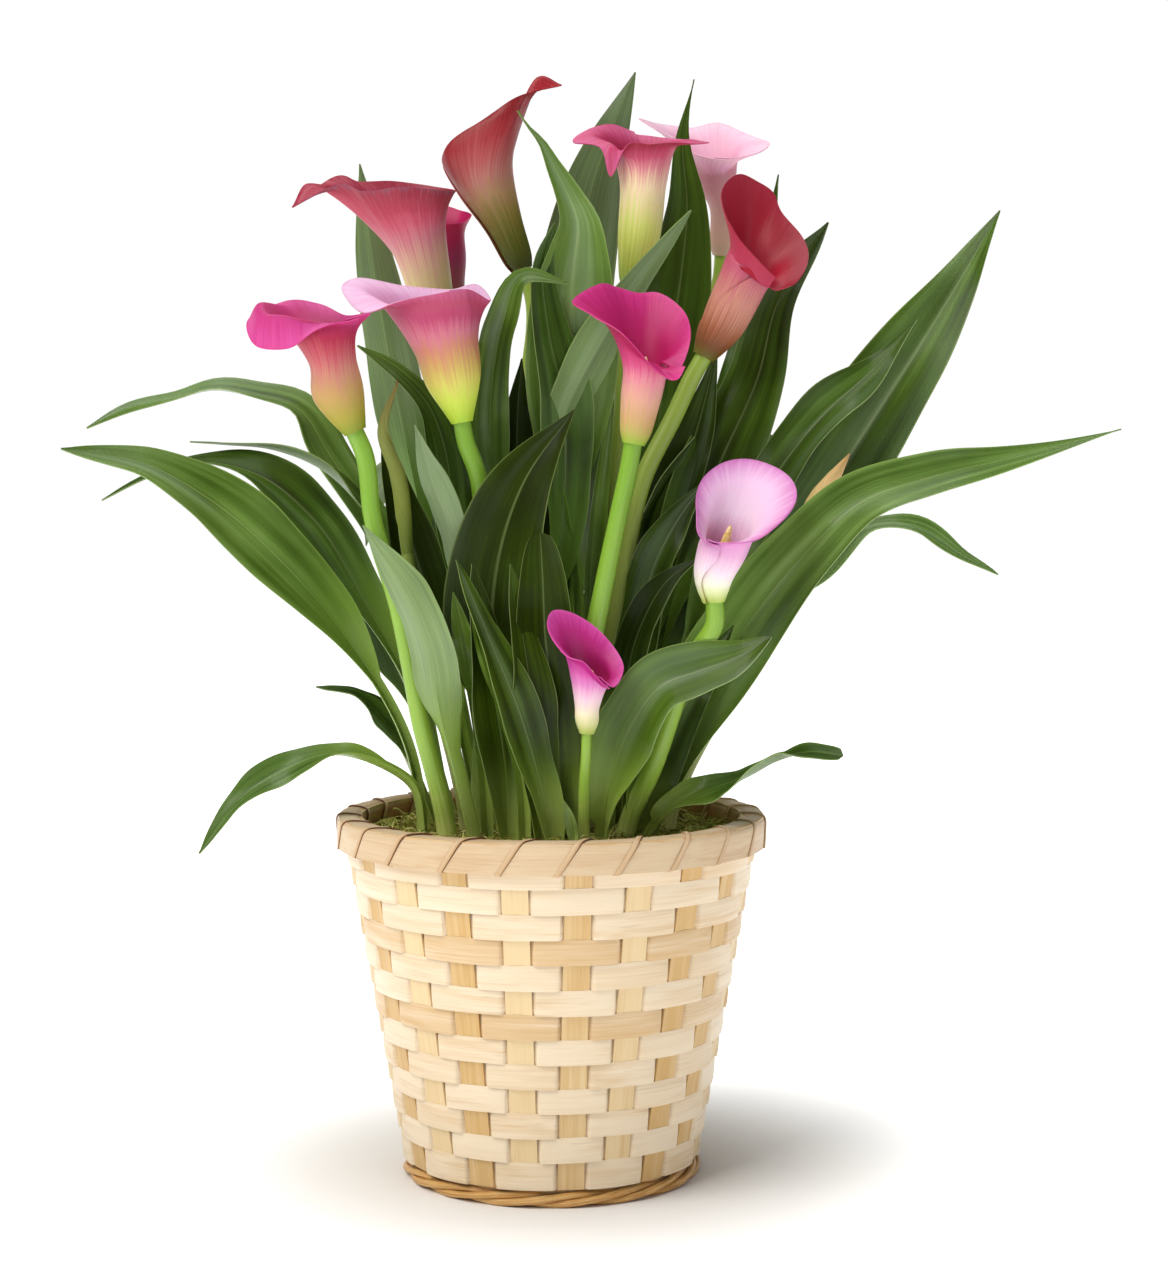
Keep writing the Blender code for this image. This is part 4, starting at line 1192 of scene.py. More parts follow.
@dataclass
class Pot:
    """Liner pot and soil in the basket, under sheet moss."""

    radius: float = 78.4
    low: float = 139.6
    top: float = 146.4
    rough: float = 1.3                # height of the moss's humps
    droop: float = 0.8                # how much lower it is at its edge
    sprigs: int = 4200
    sprig_length: Pair = (3.0, 9.0)
    sprig_lift: Pair = (0.15, 0.75)   # rise to length
    sprig_radius: Pair = (0.28, 0.6)
    seed: int = 11
    moss: Moss = Moss()
    liner: Ground = Ground("liner_plastic", "#15190F", "#23291B", 60.0, 0.42, 0.00005)
    soil: Ground = Ground("peat_soil", "#1C130B", "#4A3522", 700.0, 0.95, 0.0012)

    def relief(self, x: np.ndarray, y: np.ndarray) -> np.ndarray:
        """Height of the moss: sines of several lengths over a low mound.

        Args:
            x: Places to the right.
            y: Places to the back.

        Returns:
            Heights.
        """
        rough = (np.sin(x * 0.11 + 1.0) * np.cos(y * 0.13) + 0.6 * np.sin(x * 0.31 + y * 0.22)
                 + 0.5 * np.cos(x * 0.53 - y * 0.47)
                 + 0.35 * np.sin(x * 0.97 + 2.0) * np.sin(y * 1.03))
        return self.top + self.rough * rough - self.droop * (np.hypot(x, y) / self.radius) ** 6

    def bed(self) -> Shell:
        """Turn a disc with rough relief on its face and a flat back.

        Returns:
            The skin.
        """
        angle = full_turn(160)
        out = np.linspace(0.4, self.radius, 56)[:, None]
        height = self.relief(out * np.cos(angle), out * np.sin(angle))
        face, back = around(out, angle, height), around(out, angle, self.low)[::-1]
        return Shell.tube(np.concatenate([face, back]), tone=0.25)

    def sprig_shell(self) -> Shell:
        """Grow short curved sprigs from the bed.

        Each is a three-sided hair: it starts on the bed, rises and bows over along a
        quarter wave in its own direction, and thins to its tip.

        Returns:
            The skin.
        """
        random = np.random.default_rng(self.seed)
        total, stations, sides = self.sprigs, 5, 3
        out = self.radius * 0.97 * np.sqrt(random.uniform(0.0, 1.0, total))
        angle = random.uniform(0.0, 2.0 * np.pi, total)
        x, y = out * np.cos(angle), out * np.sin(angle)
        heading = random.uniform(0.0, 2.0 * np.pi, total)[:, None]
        length = random.uniform(*self.sprig_length, total)[:, None]
        lift = random.uniform(*self.sprig_lift, total)[:, None]
        s = np.linspace(0.0, 1.0, stations)[None, :]
        px = x[:, None] + np.cos(heading) * (length * s)
        py = y[:, None] + np.sin(heading) * (length * s)
        inside = np.minimum(1.0, self.radius / np.maximum(np.hypot(px, py), 1.0))
        bow = np.sin(s * 0.5 * np.pi) * (1.35 - 0.6 * s)
        pz = self.relief(x, y)[:, None] - 0.6 + length * lift * bow
        middle = np.stack([px * inside, py * inside, pz], axis=-1)
        size = random.uniform(*self.sprig_radius, total)[:, None] * (1.0 - 0.75 * s)
        aside = np.stack([-np.sin(heading), np.cos(heading), 0.0 * heading], axis=-1)
        hairs = rings(middle, aside, np.array([0.0, 0.0, 1.0]), size[..., None], sides)
        index = np.arange(total * stations * sides).reshape(total, stations, sides)
        side = np.roll(index, -1, axis=2)
        quads = np.stack([index[:, :-1], side[:, :-1], side[:, 1:], index[:, 1:]], axis=-1)
        tone = np.repeat(random.uniform(0.0, 1.0, total), stations * sides)[:, None]
        return Shell(hairs.reshape(-1, 3), quads.reshape(-1, 4),
                     np.concatenate([index[:, 0, ::-1], index[:, -1]]), {"tone": tone})

    def build(self) -> None:
        """Make the moss and dress the liner and the soil."""
        moss = self.moss.material()
        place("moss_bed", self.bed(), moss, "moss", ("moss_top",))
        place("moss_sprigs", self.sprig_shell(), moss, "moss")
        dress("liner_pot", self.liner.material())
        dress("potting_soil", self.soil.material())


# ---- plant ----


@dataclass
class Leaf:
    """A leaf: its path in the front view, its depth, its width and how it looks.

    "faces" are the directions of its face at even shares of the length. "shade" goes from
    dark to light: partly the leaf's own colour, partly painted shade that is low for leaves
    deep in the clump. "warmth" goes from blue green to olive and "pale" tells how far its
    back is bleached.
    """

    foot: Pair
    path: tuple[Pair, ...]
    depth: Pair
    width: float
    faces: tuple[Triple, ...]
    # own darkness, and painted shade for leaves deep in the clump
    shade: float = 0.45
    warmth: float = 0.3
    pale: float = 0.5
    stalk: float = 7.0          # width at its foot
    start: float = 0.3          # share of the length at which the blade starts
    fold: float = 16.0          # degrees that the blade's halves rise
    wave: float = 2.0           # height of the margins' waves
    waves: float = 2.0          # and how many a margin has
    slim: float = 0.9
    bulge: float = 0.8
    thin: float = 0.55          # thickness of the blade's sheet
    stem: float = 3.1           # thickness of the stalk at its foot
    taper: float = 2.2          # how much of that the rib loses toward the tip
    gutter: float = 50.0        # angle at which the stalk is folded
    root: float = 6.0           # how far it goes on below the moss
    span: float = 0.3           # metres of length to one unit of the map

    def shell(self, seed: int) -> Shell:
        """Work out the blade as a sheet across a spine.

        The half width is the stalk's, growing to the full one as a sine of the share of
        the blade to the power "bulge", raised in turn to "slim" for a drawn-out tip. The
        sheet rises from the rib as |u| to the power 1.25 at the channel's angle, its
        margins ripple, and it is thick along the rib.

        Args:
            seed: Picks the margins' small ripples.

        Returns:
            The skin.
        """
        s = np.linspace(0.0, 1.0, 72)
        spine = follow(shoot_points(self.foot, self.path, self.depth), len(s))
        spine[0, 2] -= self.root
        along = unit(np.gradient(spine, axis=0))
        looks = np.asarray(self.faces, float)
        side = unit(np.cross(along, sample(s, np.linspace(0.0, 1.0, len(looks)), looks)))
        face = np.cross(side, along)
        blade = np.clip((s - self.start) / (1.0 - self.start), 0.0, 1.0)
        half = self.stalk / 2.0 * (1.0 - blade)
        swell = np.sin(np.pi * blade ** self.bulge).clip(0.0) ** self.slim
        half = np.maximum(half + (self.width / 2.0 - half) * swell, 0.3)[:, None]
        channel = self.fold + (self.gutter - self.fold) * (1.0 - smooth(blade * 3.0))
        channel = np.radians(channel)[:, None]
        u = np.linspace(-1.0, 1.0, 17)[None, :]
        sign, off, run = np.sign(u), np.abs(u), blade[:, None]
        ripple = self.wave * np.sin(2.0 * np.pi * self.waves * run + sign) * off ** 1.6
        ripple = ripple + 0.55 * waver(run + 0.3 * sign, seed, (3.7, 6.3)) * off ** 2.4
        ripple = ripple * smooth(run * 4.0) * np.minimum(1.0, half / 8.0)
        rise = half * np.sin(channel) * off ** 1.25 + ripple
        middle = (spine[:, None] + side[:, None] * (u * half * np.cos(channel))[..., None]
                  + face[:, None] * rise[..., None])
        stem = (self.stem - self.taper * smooth(s * 1.6))[:, None] - self.thin
        rib = np.exp(-(off / 0.16) ** 2) * (1.0 - run) ** 0.5
        flat = smooth(run * 5.0)
        thick = self.thin + stem * (np.sqrt(1.0 - 0.96 * off ** 2) * (1.0 - flat) + rib * flat)
        lift = face[:, None] * thick[..., None]
        length = (s * (lengths(spine)[-1] * MM) / self.span)[:, None]
        return Shell.slab(middle + 0.35 * lift, middle - 0.65 * lift,
                          uv=pairs((u + 1.0) / 2.0, length), blade=smooth(run * 2.4),
                          shade=self.shade, warmth=self.warmth, pale=self.pale)


@dataclass
class Flower:
    """A flower: its stem's path, the rings of its tube and the edge of its petal.

    Rings and edge are given where they show from the front (see "shown") and by how far
    behind the flower's base they lie. "belly" and "throat" are (x, z, depth, radius). A
    row of "limb" is an angle, counted from the right by way of the back, and the place of
    the edge and of the crest below it, each as (x, z, depth). "seam" is the angle at which
    the petal's sides lap, and "twist" how far that place has turned at the foot. "wrap" is
    1 where the side that comes by way of the left lies outside, else -1. "part" is how far
    the sides draw apart at the edge, "flap" how far the corner of the outer side hangs
    away from the rest, and "tint" over BRIGHT gives the stem the lime finish.
    """

    foot: Pair
    path: tuple[Pair, ...]
    depth: Pair
    belly: Quad
    throat: Quad
    limb: tuple[tuple[float, ...], ...]
    skin: "Petal"
    seam: float = 240.0
    twist: float = 20.0
    stem: float = 3.8
    spadix: float = 40.0
    wrap: float = 1.0
    part: float = 8.0
    flap: Triple = (0.0, 0.0, 0.0)
    frill: float = 0.5
    tint: float = 0.5
    lap: float = 198.0          # degrees from the petal's middle to each of its sides
    wall: float = 0.45          # half its thickness in the tube
    thin: float = 0.22          # how much less that is at its edge
    rise: float = 3.0           # height above the base at which the spadix starts
    spadix_radius: float = 2.7
    dimple: float = 0.07        # depth of its dimples, as a share of the radius
    dimples: Pair = (7.0, 60.0)  # radians of their waves: for one round it, and up it

    def rings(self) -> tuple[np.ndarray, np.ndarray, np.ndarray]:
        """Middles of the base, the belly and the throat in space."""
        base = shoot_points(self.foot, self.path, self.depth)[-1]
        return (base, *(shown(x, z, base[1] + y) for x, z, y, _ in (self.belly, self.throat)))

    def stem_shell(self, seed: int) -> Shell:
        """Carry a round section, slightly uneven, up the stem to the foot of the spathe.

        Args:
            seed: Picks its unevenness.

        Returns:
            The skin.
        """
        base, belly, _ = self.rings()
        points = shoot_points(self.foot, self.path, self.depth)
        points[-1] = base - unit(belly - base) * 8.0
        root = points[:1] - [0.0, 0.0, ROOT_DEPTH]
        path = follow(np.vstack([root, points, base[None, :]]), 64)
        s = np.linspace(0.0, 1.0, len(path))
        radii = self.stem * (1.12 - 0.14 * s) * (1.0 + 0.025 * waver(s, seed, (2.3, 5.1)))
        run = s[:, None] * (lengths(path)[-1] * MM)
        return Shell.tube(rod(path, radii, 20), uv=pairs(folded(20) * 0.012, run))

    def spadix_shell(self) -> Shell:
        """Carry a round section up the tube's middle, dimpled by two crossing waves.

        Returns:
            The skin.
        """
        base, belly, throat = self.rings()
        line = follow(np.stack([base, belly, throat, throat + unit(throat - belly) * 60.0]), 200)
        s = np.linspace(0.0, 1.0, 56)
        path = sample(self.rise + (self.spadix - self.rise) * s, lengths(line), line)
        radius = np.sqrt(np.clip(1.0 - s ** 5, 0.004, 1.0)) * (1.0 - 0.3 * s)
        sides = 28
        turn, climb = self.dimples[0] * full_turn(sides), self.dimples[1] * s[:, None]
        bumpy = 1.0 + self.dimple * (np.cos(turn + climb) * np.cos(turn - climb))
        return Shell.tube(rod(path, self.spadix_radius * radius[:, None] * bumpy, sides))

    def surface(self, theta: np.ndarray, s: np.ndarray) -> np.ndarray:
        """Work out points of the petal.

        At an angle theta, a meridian starts on the base's ring, passes a slightly wider
        one, those of the belly and the throat and the crest, and ends on the edge. Crest
        and edge are closed curves through the rows of "limb", and a cubic with mean slopes
        joins the six.

        Args:
            theta: Angles in radians, as (columns, rows).
            s: Shares of the way from the foot to the edge, as (rows,).

        Returns:
            Points as (columns, rows, 3).
        """
        base, belly, throat = self.rings()
        knots = []
        middles = (base, base + unit(belly - base) * SHOULDER, belly, throat)
        sizes = (self.stem + 0.45, self.stem + 1.6, self.belly[3], self.throat[3])
        tangents = unit(np.gradient(np.stack(middles), axis=0))
        for middle, size, axis in zip(middles, sizes, tangents):
            right = unit(np.array([1.0, 0.0, 0.0]) - axis * axis[0])
            behind = np.cross(axis, right)
            knots.append(middle + size * (np.cos(theta)[..., None] * right
                                          + np.sin(theta)[..., None] * behind))
        limb = np.array(self.limb)
        angles = np.radians(np.concatenate([limb[-3:, 0] - 360.0, limb[:, 0], limb[:3, 0] + 360.0]))
        fine = np.linspace(0.0, 2.0 * np.pi, 361)
        for first in (4, 1):
            line = np.stack([shown(x, z, base[1] + y) for x, z, y in limb[:, first:first + 3]])
            curve = through(angles, np.concatenate([line[-3:], line, line[:3]]), fine)
            knots.append(sample(np.mod(theta, 2.0 * np.pi), fine, curve))
        return through(np.array(SPATHE_KNOTS), np.stack(knots), s)

    def spathe_shell(self, seed: int) -> Shell:
        """Roll the petal round the spadix as a sheet of meridians whose sides lap.

        Args:
            seed: Picks the ruffles of its edge.

        Returns:
            The skin.
        """
        columns, rows = 145, 48
        s = np.linspace(0.0, 1.0, rows)[None, :]
        reach = self.lap - self.part * smooth((s - 0.35) / 0.65)
        roll = np.linspace(-1.0, 1.0, columns)[:, None] * reach
        turn = np.radians(roll + self.twist * (1.0 - smooth((s - 0.1) / 0.4)))
        sheet = self.surface(turn + np.radians(self.seam - 180.0), s[0])
        outer = smooth((self.wrap * roll - 145.0) / 50.0) * smooth((s - 0.3) / 0.7)
        sheet = sheet + outer[..., None] * np.array(self.flap)
        out = unit(np.cross(np.gradient(sheet, axis=0), np.gradient(sheet, axis=1)))
        lift = self.wrap * 0.9 * SPATHE_CLEAR * roll / 360.0
        lift = lift + self.frill * waver(roll / 360.0, seed, (3.0, 5.0, 8.0)) * s ** 5
        half = (self.wall - self.thin * s ** 2) * (0.3 + 0.7 * smooth(s / 0.08))
        inside, outside = (sheet + out * (lift + sign * half)[..., None] for sign in (-1.0, 1.0))
        return Shell.slab(inside, outside, uv=pairs(np.abs(turn) / np.pi, s))


@dataclass
class Bud:
    """A closed spathe: a rolled sheet that ends in a point."""

    foot: Pair
    path: tuple[Pair, ...]
    depth: Pair
    length: float
    radius: float
    axis: Triple
    skin: "Petal"
    stem: float = 2.6
    bends: tuple[Pair, ...] = ()
    winds: float = 1.3          # turns that the roll's edge makes on its way up
    start: float = 0.35         # where it starts, as a share of a turn
    step: float = 0.2           # height of that edge, as a share of the radius

    def shells(self) -> tuple[Shell, Shell]:
        """Carry a round section up the stem, and a spiral one up the bud.

        The bud's radius swells and thins along its length; round it, it steps once where
        the outer edge of the roll lies, and that step winds as it climbs.

        Returns:
            The skins of the stem and of the roll.
        """
        axis = unit(np.asarray(self.axis, float))
        points = shoot_points(self.foot, self.path, self.depth)
        bends = [shown(x, z, points[-1, 1])[None, :] for x, z in self.bends]
        root = points[:1] - [0.0, 0.0, ROOT_DEPTH]
        path = follow(np.vstack([root, points, *bends, points[-1] + axis * self.length]), 150)
        run = lengths(path)
        cut = int(np.searchsorted(run, run[-1] - self.length - 4.0))
        stem, roll = path[:cut + 4], path[cut:]
        up = np.linspace(0.0, run[cut + 4] * MM, len(stem))[:, None]
        stem_shell = Shell.tube(rod(stem, np.full(len(stem), self.stem), 16),
                                uv=pairs(folded(16) * 0.01, up))
        sides = 40
        s = np.linspace(0.0, 1.0, len(roll))[:, None]
        wind = (full_turn(sides) / (2.0 * np.pi) - self.winds * s + self.start) % 1.0
        swell = np.interp(s, (0.0, 0.08, 0.25, 0.45, 0.7, 0.9, 1.0),
                          (self.stem / self.radius, 0.78, 0.95, 1.0, 0.72, 0.32, 0.08))
        radius = self.radius * swell * (0.86 + self.step * wind * smooth(s * 6.0))
        return stem_shell, Shell.tube(rod(roll, radius, sides), under=1.0,
                                      uv=pairs(1.0 - np.abs(2.0 * wind - 1.0), s))


class Petal(Enum):
    """The petals' finishes."""

    # The outside's darker stop at 0.6 is painted shade under the lip.
    HOT_PINK = SpatheSkin(
        "hot_pink_spathe",
        ((0.0, "#7E9121"), (0.1, "#A59939"), (0.22, "#B99458"), (0.35, "#BE7F6E"),
         (0.46, "#B85A61"), (0.6, "#A92F4A"), (0.8, "#B92F6A"), (1.0, "#C83E86")),
        ((0.0, "#BA603F"), (0.4, "#AA2148"), (0.65, "#B22F64"), (0.85, "#BE367E"),
         (1.0, "#CD4A94")))
    ROSE_BLUSH = SpatheSkin(
        "rose_blush_spathe",
        ((0.0, "#A9C936"), (0.12, "#C5D94F"), (0.2, "#CFCB60"), (0.3, "#C5A35B"), (0.42, "#C38169"),
         (0.52, "#C67386"), (0.66, "#B4486E"), (0.85, "#B14464"), (1.0, "#B9557E")),
        ((0.0, "#D1B55D"), (0.45, "#C86A97"), (0.72, "#DA9CC6"), (1.0, "#E6BEDE")),
        edge="#BA6191")
    RED_ROSE = SpatheSkin(
        "red_rose_spathe",
        ((0.0, "#C2C758"), (0.24, "#D5C588"), (0.38, "#CDA08B"), (0.48, "#C1737F"),
         (0.6, "#B94D65"), (0.78, "#AB364D"), (0.95, "#992E44"), (1.0, "#894359")),
        ((0.0, "#BA603F"), (0.4, "#9C1E38"), (1.0, "#942540")),
        streak=0.14, vein="#E1A39B", veining=0.16, edge="#852D3A")
    DARK_RED = SpatheSkin(
        "dark_red_spathe",
        ((0.0, "#3A450B"), (0.14, "#585B10"), (0.25, "#857535"), (0.36, "#AC8860"),
         (0.46, "#B2746A"), (0.56, "#A85052"), (0.68, "#952830"), (0.82, "#80161E"),
         (1.0, "#761219")),
        ((0.0, "#6C161D"), (0.5, "#85121E"), (1.0, "#951D28")),
        streak=0.14, vein="#C4706A", veining=0.16, edge="#76151D")
    PINK_CREAM = SpatheSkin(
        "pink_cream_spathe",
        ((0.0, "#84A235"), (0.12, "#B8BE53"), (0.24, "#CFD66C"), (0.4, "#EFD6B0"),
         (0.53, "#D4848C"), (0.68, "#BE466A"), (0.85, "#A32749"), (1.0, "#871D33")),
        ((0.0, "#C2A660"), (0.4, "#B22C54"), (0.7, "#B22A58"), (1.0, "#C35986")),
        streak=0.2, vein="#9B392F", veining=0.6)
    PALE_PINK = SpatheSkin(
        "pale_pink_spathe",
        ((0.0, "#C0A187"), (0.3, "#BB8688"), (0.55, "#B2727F"), (0.8, "#CD8EAA"), (1.0, "#DCA6BB")),
        ((0.0, "#D1BF82"), (0.3, "#D093A4"), (0.55, "#DBA1B9"), (0.8, "#E4B4CC"), (1.0, "#ECC8DB")),
        vein="#BE7091", veining=0.25, edge="#D182A9")
    # The inside's stops in the throat are lightened: painted light that shines through the thin
    # petal.
    CRIMSON = SpatheSkin(
        "crimson_spathe",
        ((0.0, "#66661E"), (0.05, "#6A481E"), (0.1, "#7A4628"), (0.18, "#985A3C"), (0.3, "#C68776"),
         (0.45, "#B7546D"), (0.7, "#B43D5B"), (1.0, "#A92E49")),
        ((0.0, "#95533A"), (0.2, "#AE4850"), (0.4, "#AD1F38"), (0.65, "#9E142C"), (0.9, "#8A1024"),
         (1.0, "#8C1C32")),
        streak=0.12, vein="#851123", veining=0.25, edge="#85182B")
    # The inside's stops in the throat are lightened: painted light that shines through the thin
    # petal.
    MAGENTA = SpatheSkin(
        "magenta_spathe",
        ((0.0, "#8BB230"), (0.05, "#AEAA51"), (0.11, "#C49F68"), (0.2, "#D6A28A"),
         (0.34, "#D98794"), (0.48, "#CB467C"), (0.68, "#B41F5E"), (1.0, "#AB1553")),
        ((0.0, "#C9947A"), (0.2, "#C65878"), (0.4, "#C22565"), (0.62, "#AF165A"), (0.85, "#B11B65"),
         (1.0, "#C12C7A")),
        vein="#8B0D43", edge="#D9589D")
    LAVENDER = SpatheSkin(
        "lavender_spathe",
        ((0.0, "#A8BE50"), (0.06, "#D8DEA0"), (0.16, "#EEECD4"), (0.3, "#EFD7E3"), (0.5, "#DAA4CA"),
         (0.8, "#CE86BE"), (1.0, "#C168AA")),
        ((0.0, "#C8B070"), (0.2, "#B88C78"), (0.36, "#BE8295"), (0.5, "#D9A4C6"), (0.64, "#EFD3E7"),
         (0.84, "#E7BADC"), (1.0, "#CC7DBB")),
        streak=0.1, vein="#B060A0", veining=0.08, edge="#BC64A8", edging=0.5)
    ORCHID = SpatheSkin(
        "orchid_spathe",
        ((0.0, "#A8BC50"), (0.06, "#D8D498"), (0.16, "#F2E2C4"), (0.3, "#F0C8D8"),
         (0.45, "#D980BE"), (0.62, "#C7459B"), (0.8, "#B82884"), (1.0, "#B11E79")),
        ((0.0, "#A04868"), (0.4, "#A32459"), (0.62, "#A62063"), (0.85, "#B42579"),
         (1.0, "#CA459B")),
        streak=0.12, vein="#8A1C58", edge="#E070B4")
    MAGENTA_BACK = SpatheSkin(
        "deep_magenta_spathe",
        ((0.0, "#C1C658"), (0.2, "#9B5454"), (0.45, "#AA386A"), (0.7, "#BE2963"), (1.0, "#C2205B")),
        ((0.0, "#AA2162"), (1.0, "#AA1655")),
        edge="#D12A84")
    RED_EDGED = SpatheSkin(
        "red_edged_bud",
        ((0.0, "#5E7020"), (0.3, "#86923C"), (0.7, "#98A054"), (1.0, "#8C7A44")),
        ((0.0, "#7A8A34"), (0.6, "#7E963A"), (1.0, "#7E8A4A")),
        streak=0.2, vein="#6A2026", veining=0.12, edge="#5E1418", edging=1.0)
    STRAW = SpatheSkin(
        "straw_bud",
        ((0.0, "#A8B060"), (0.3, "#D8BC78"), (0.6, "#E4C284"), (1.0, "#B89458")),
        ((0.0, "#B8B860"), (1.0, "#C89A58")),
        vein="#A07848", veining=0.3, edge="#B07848")
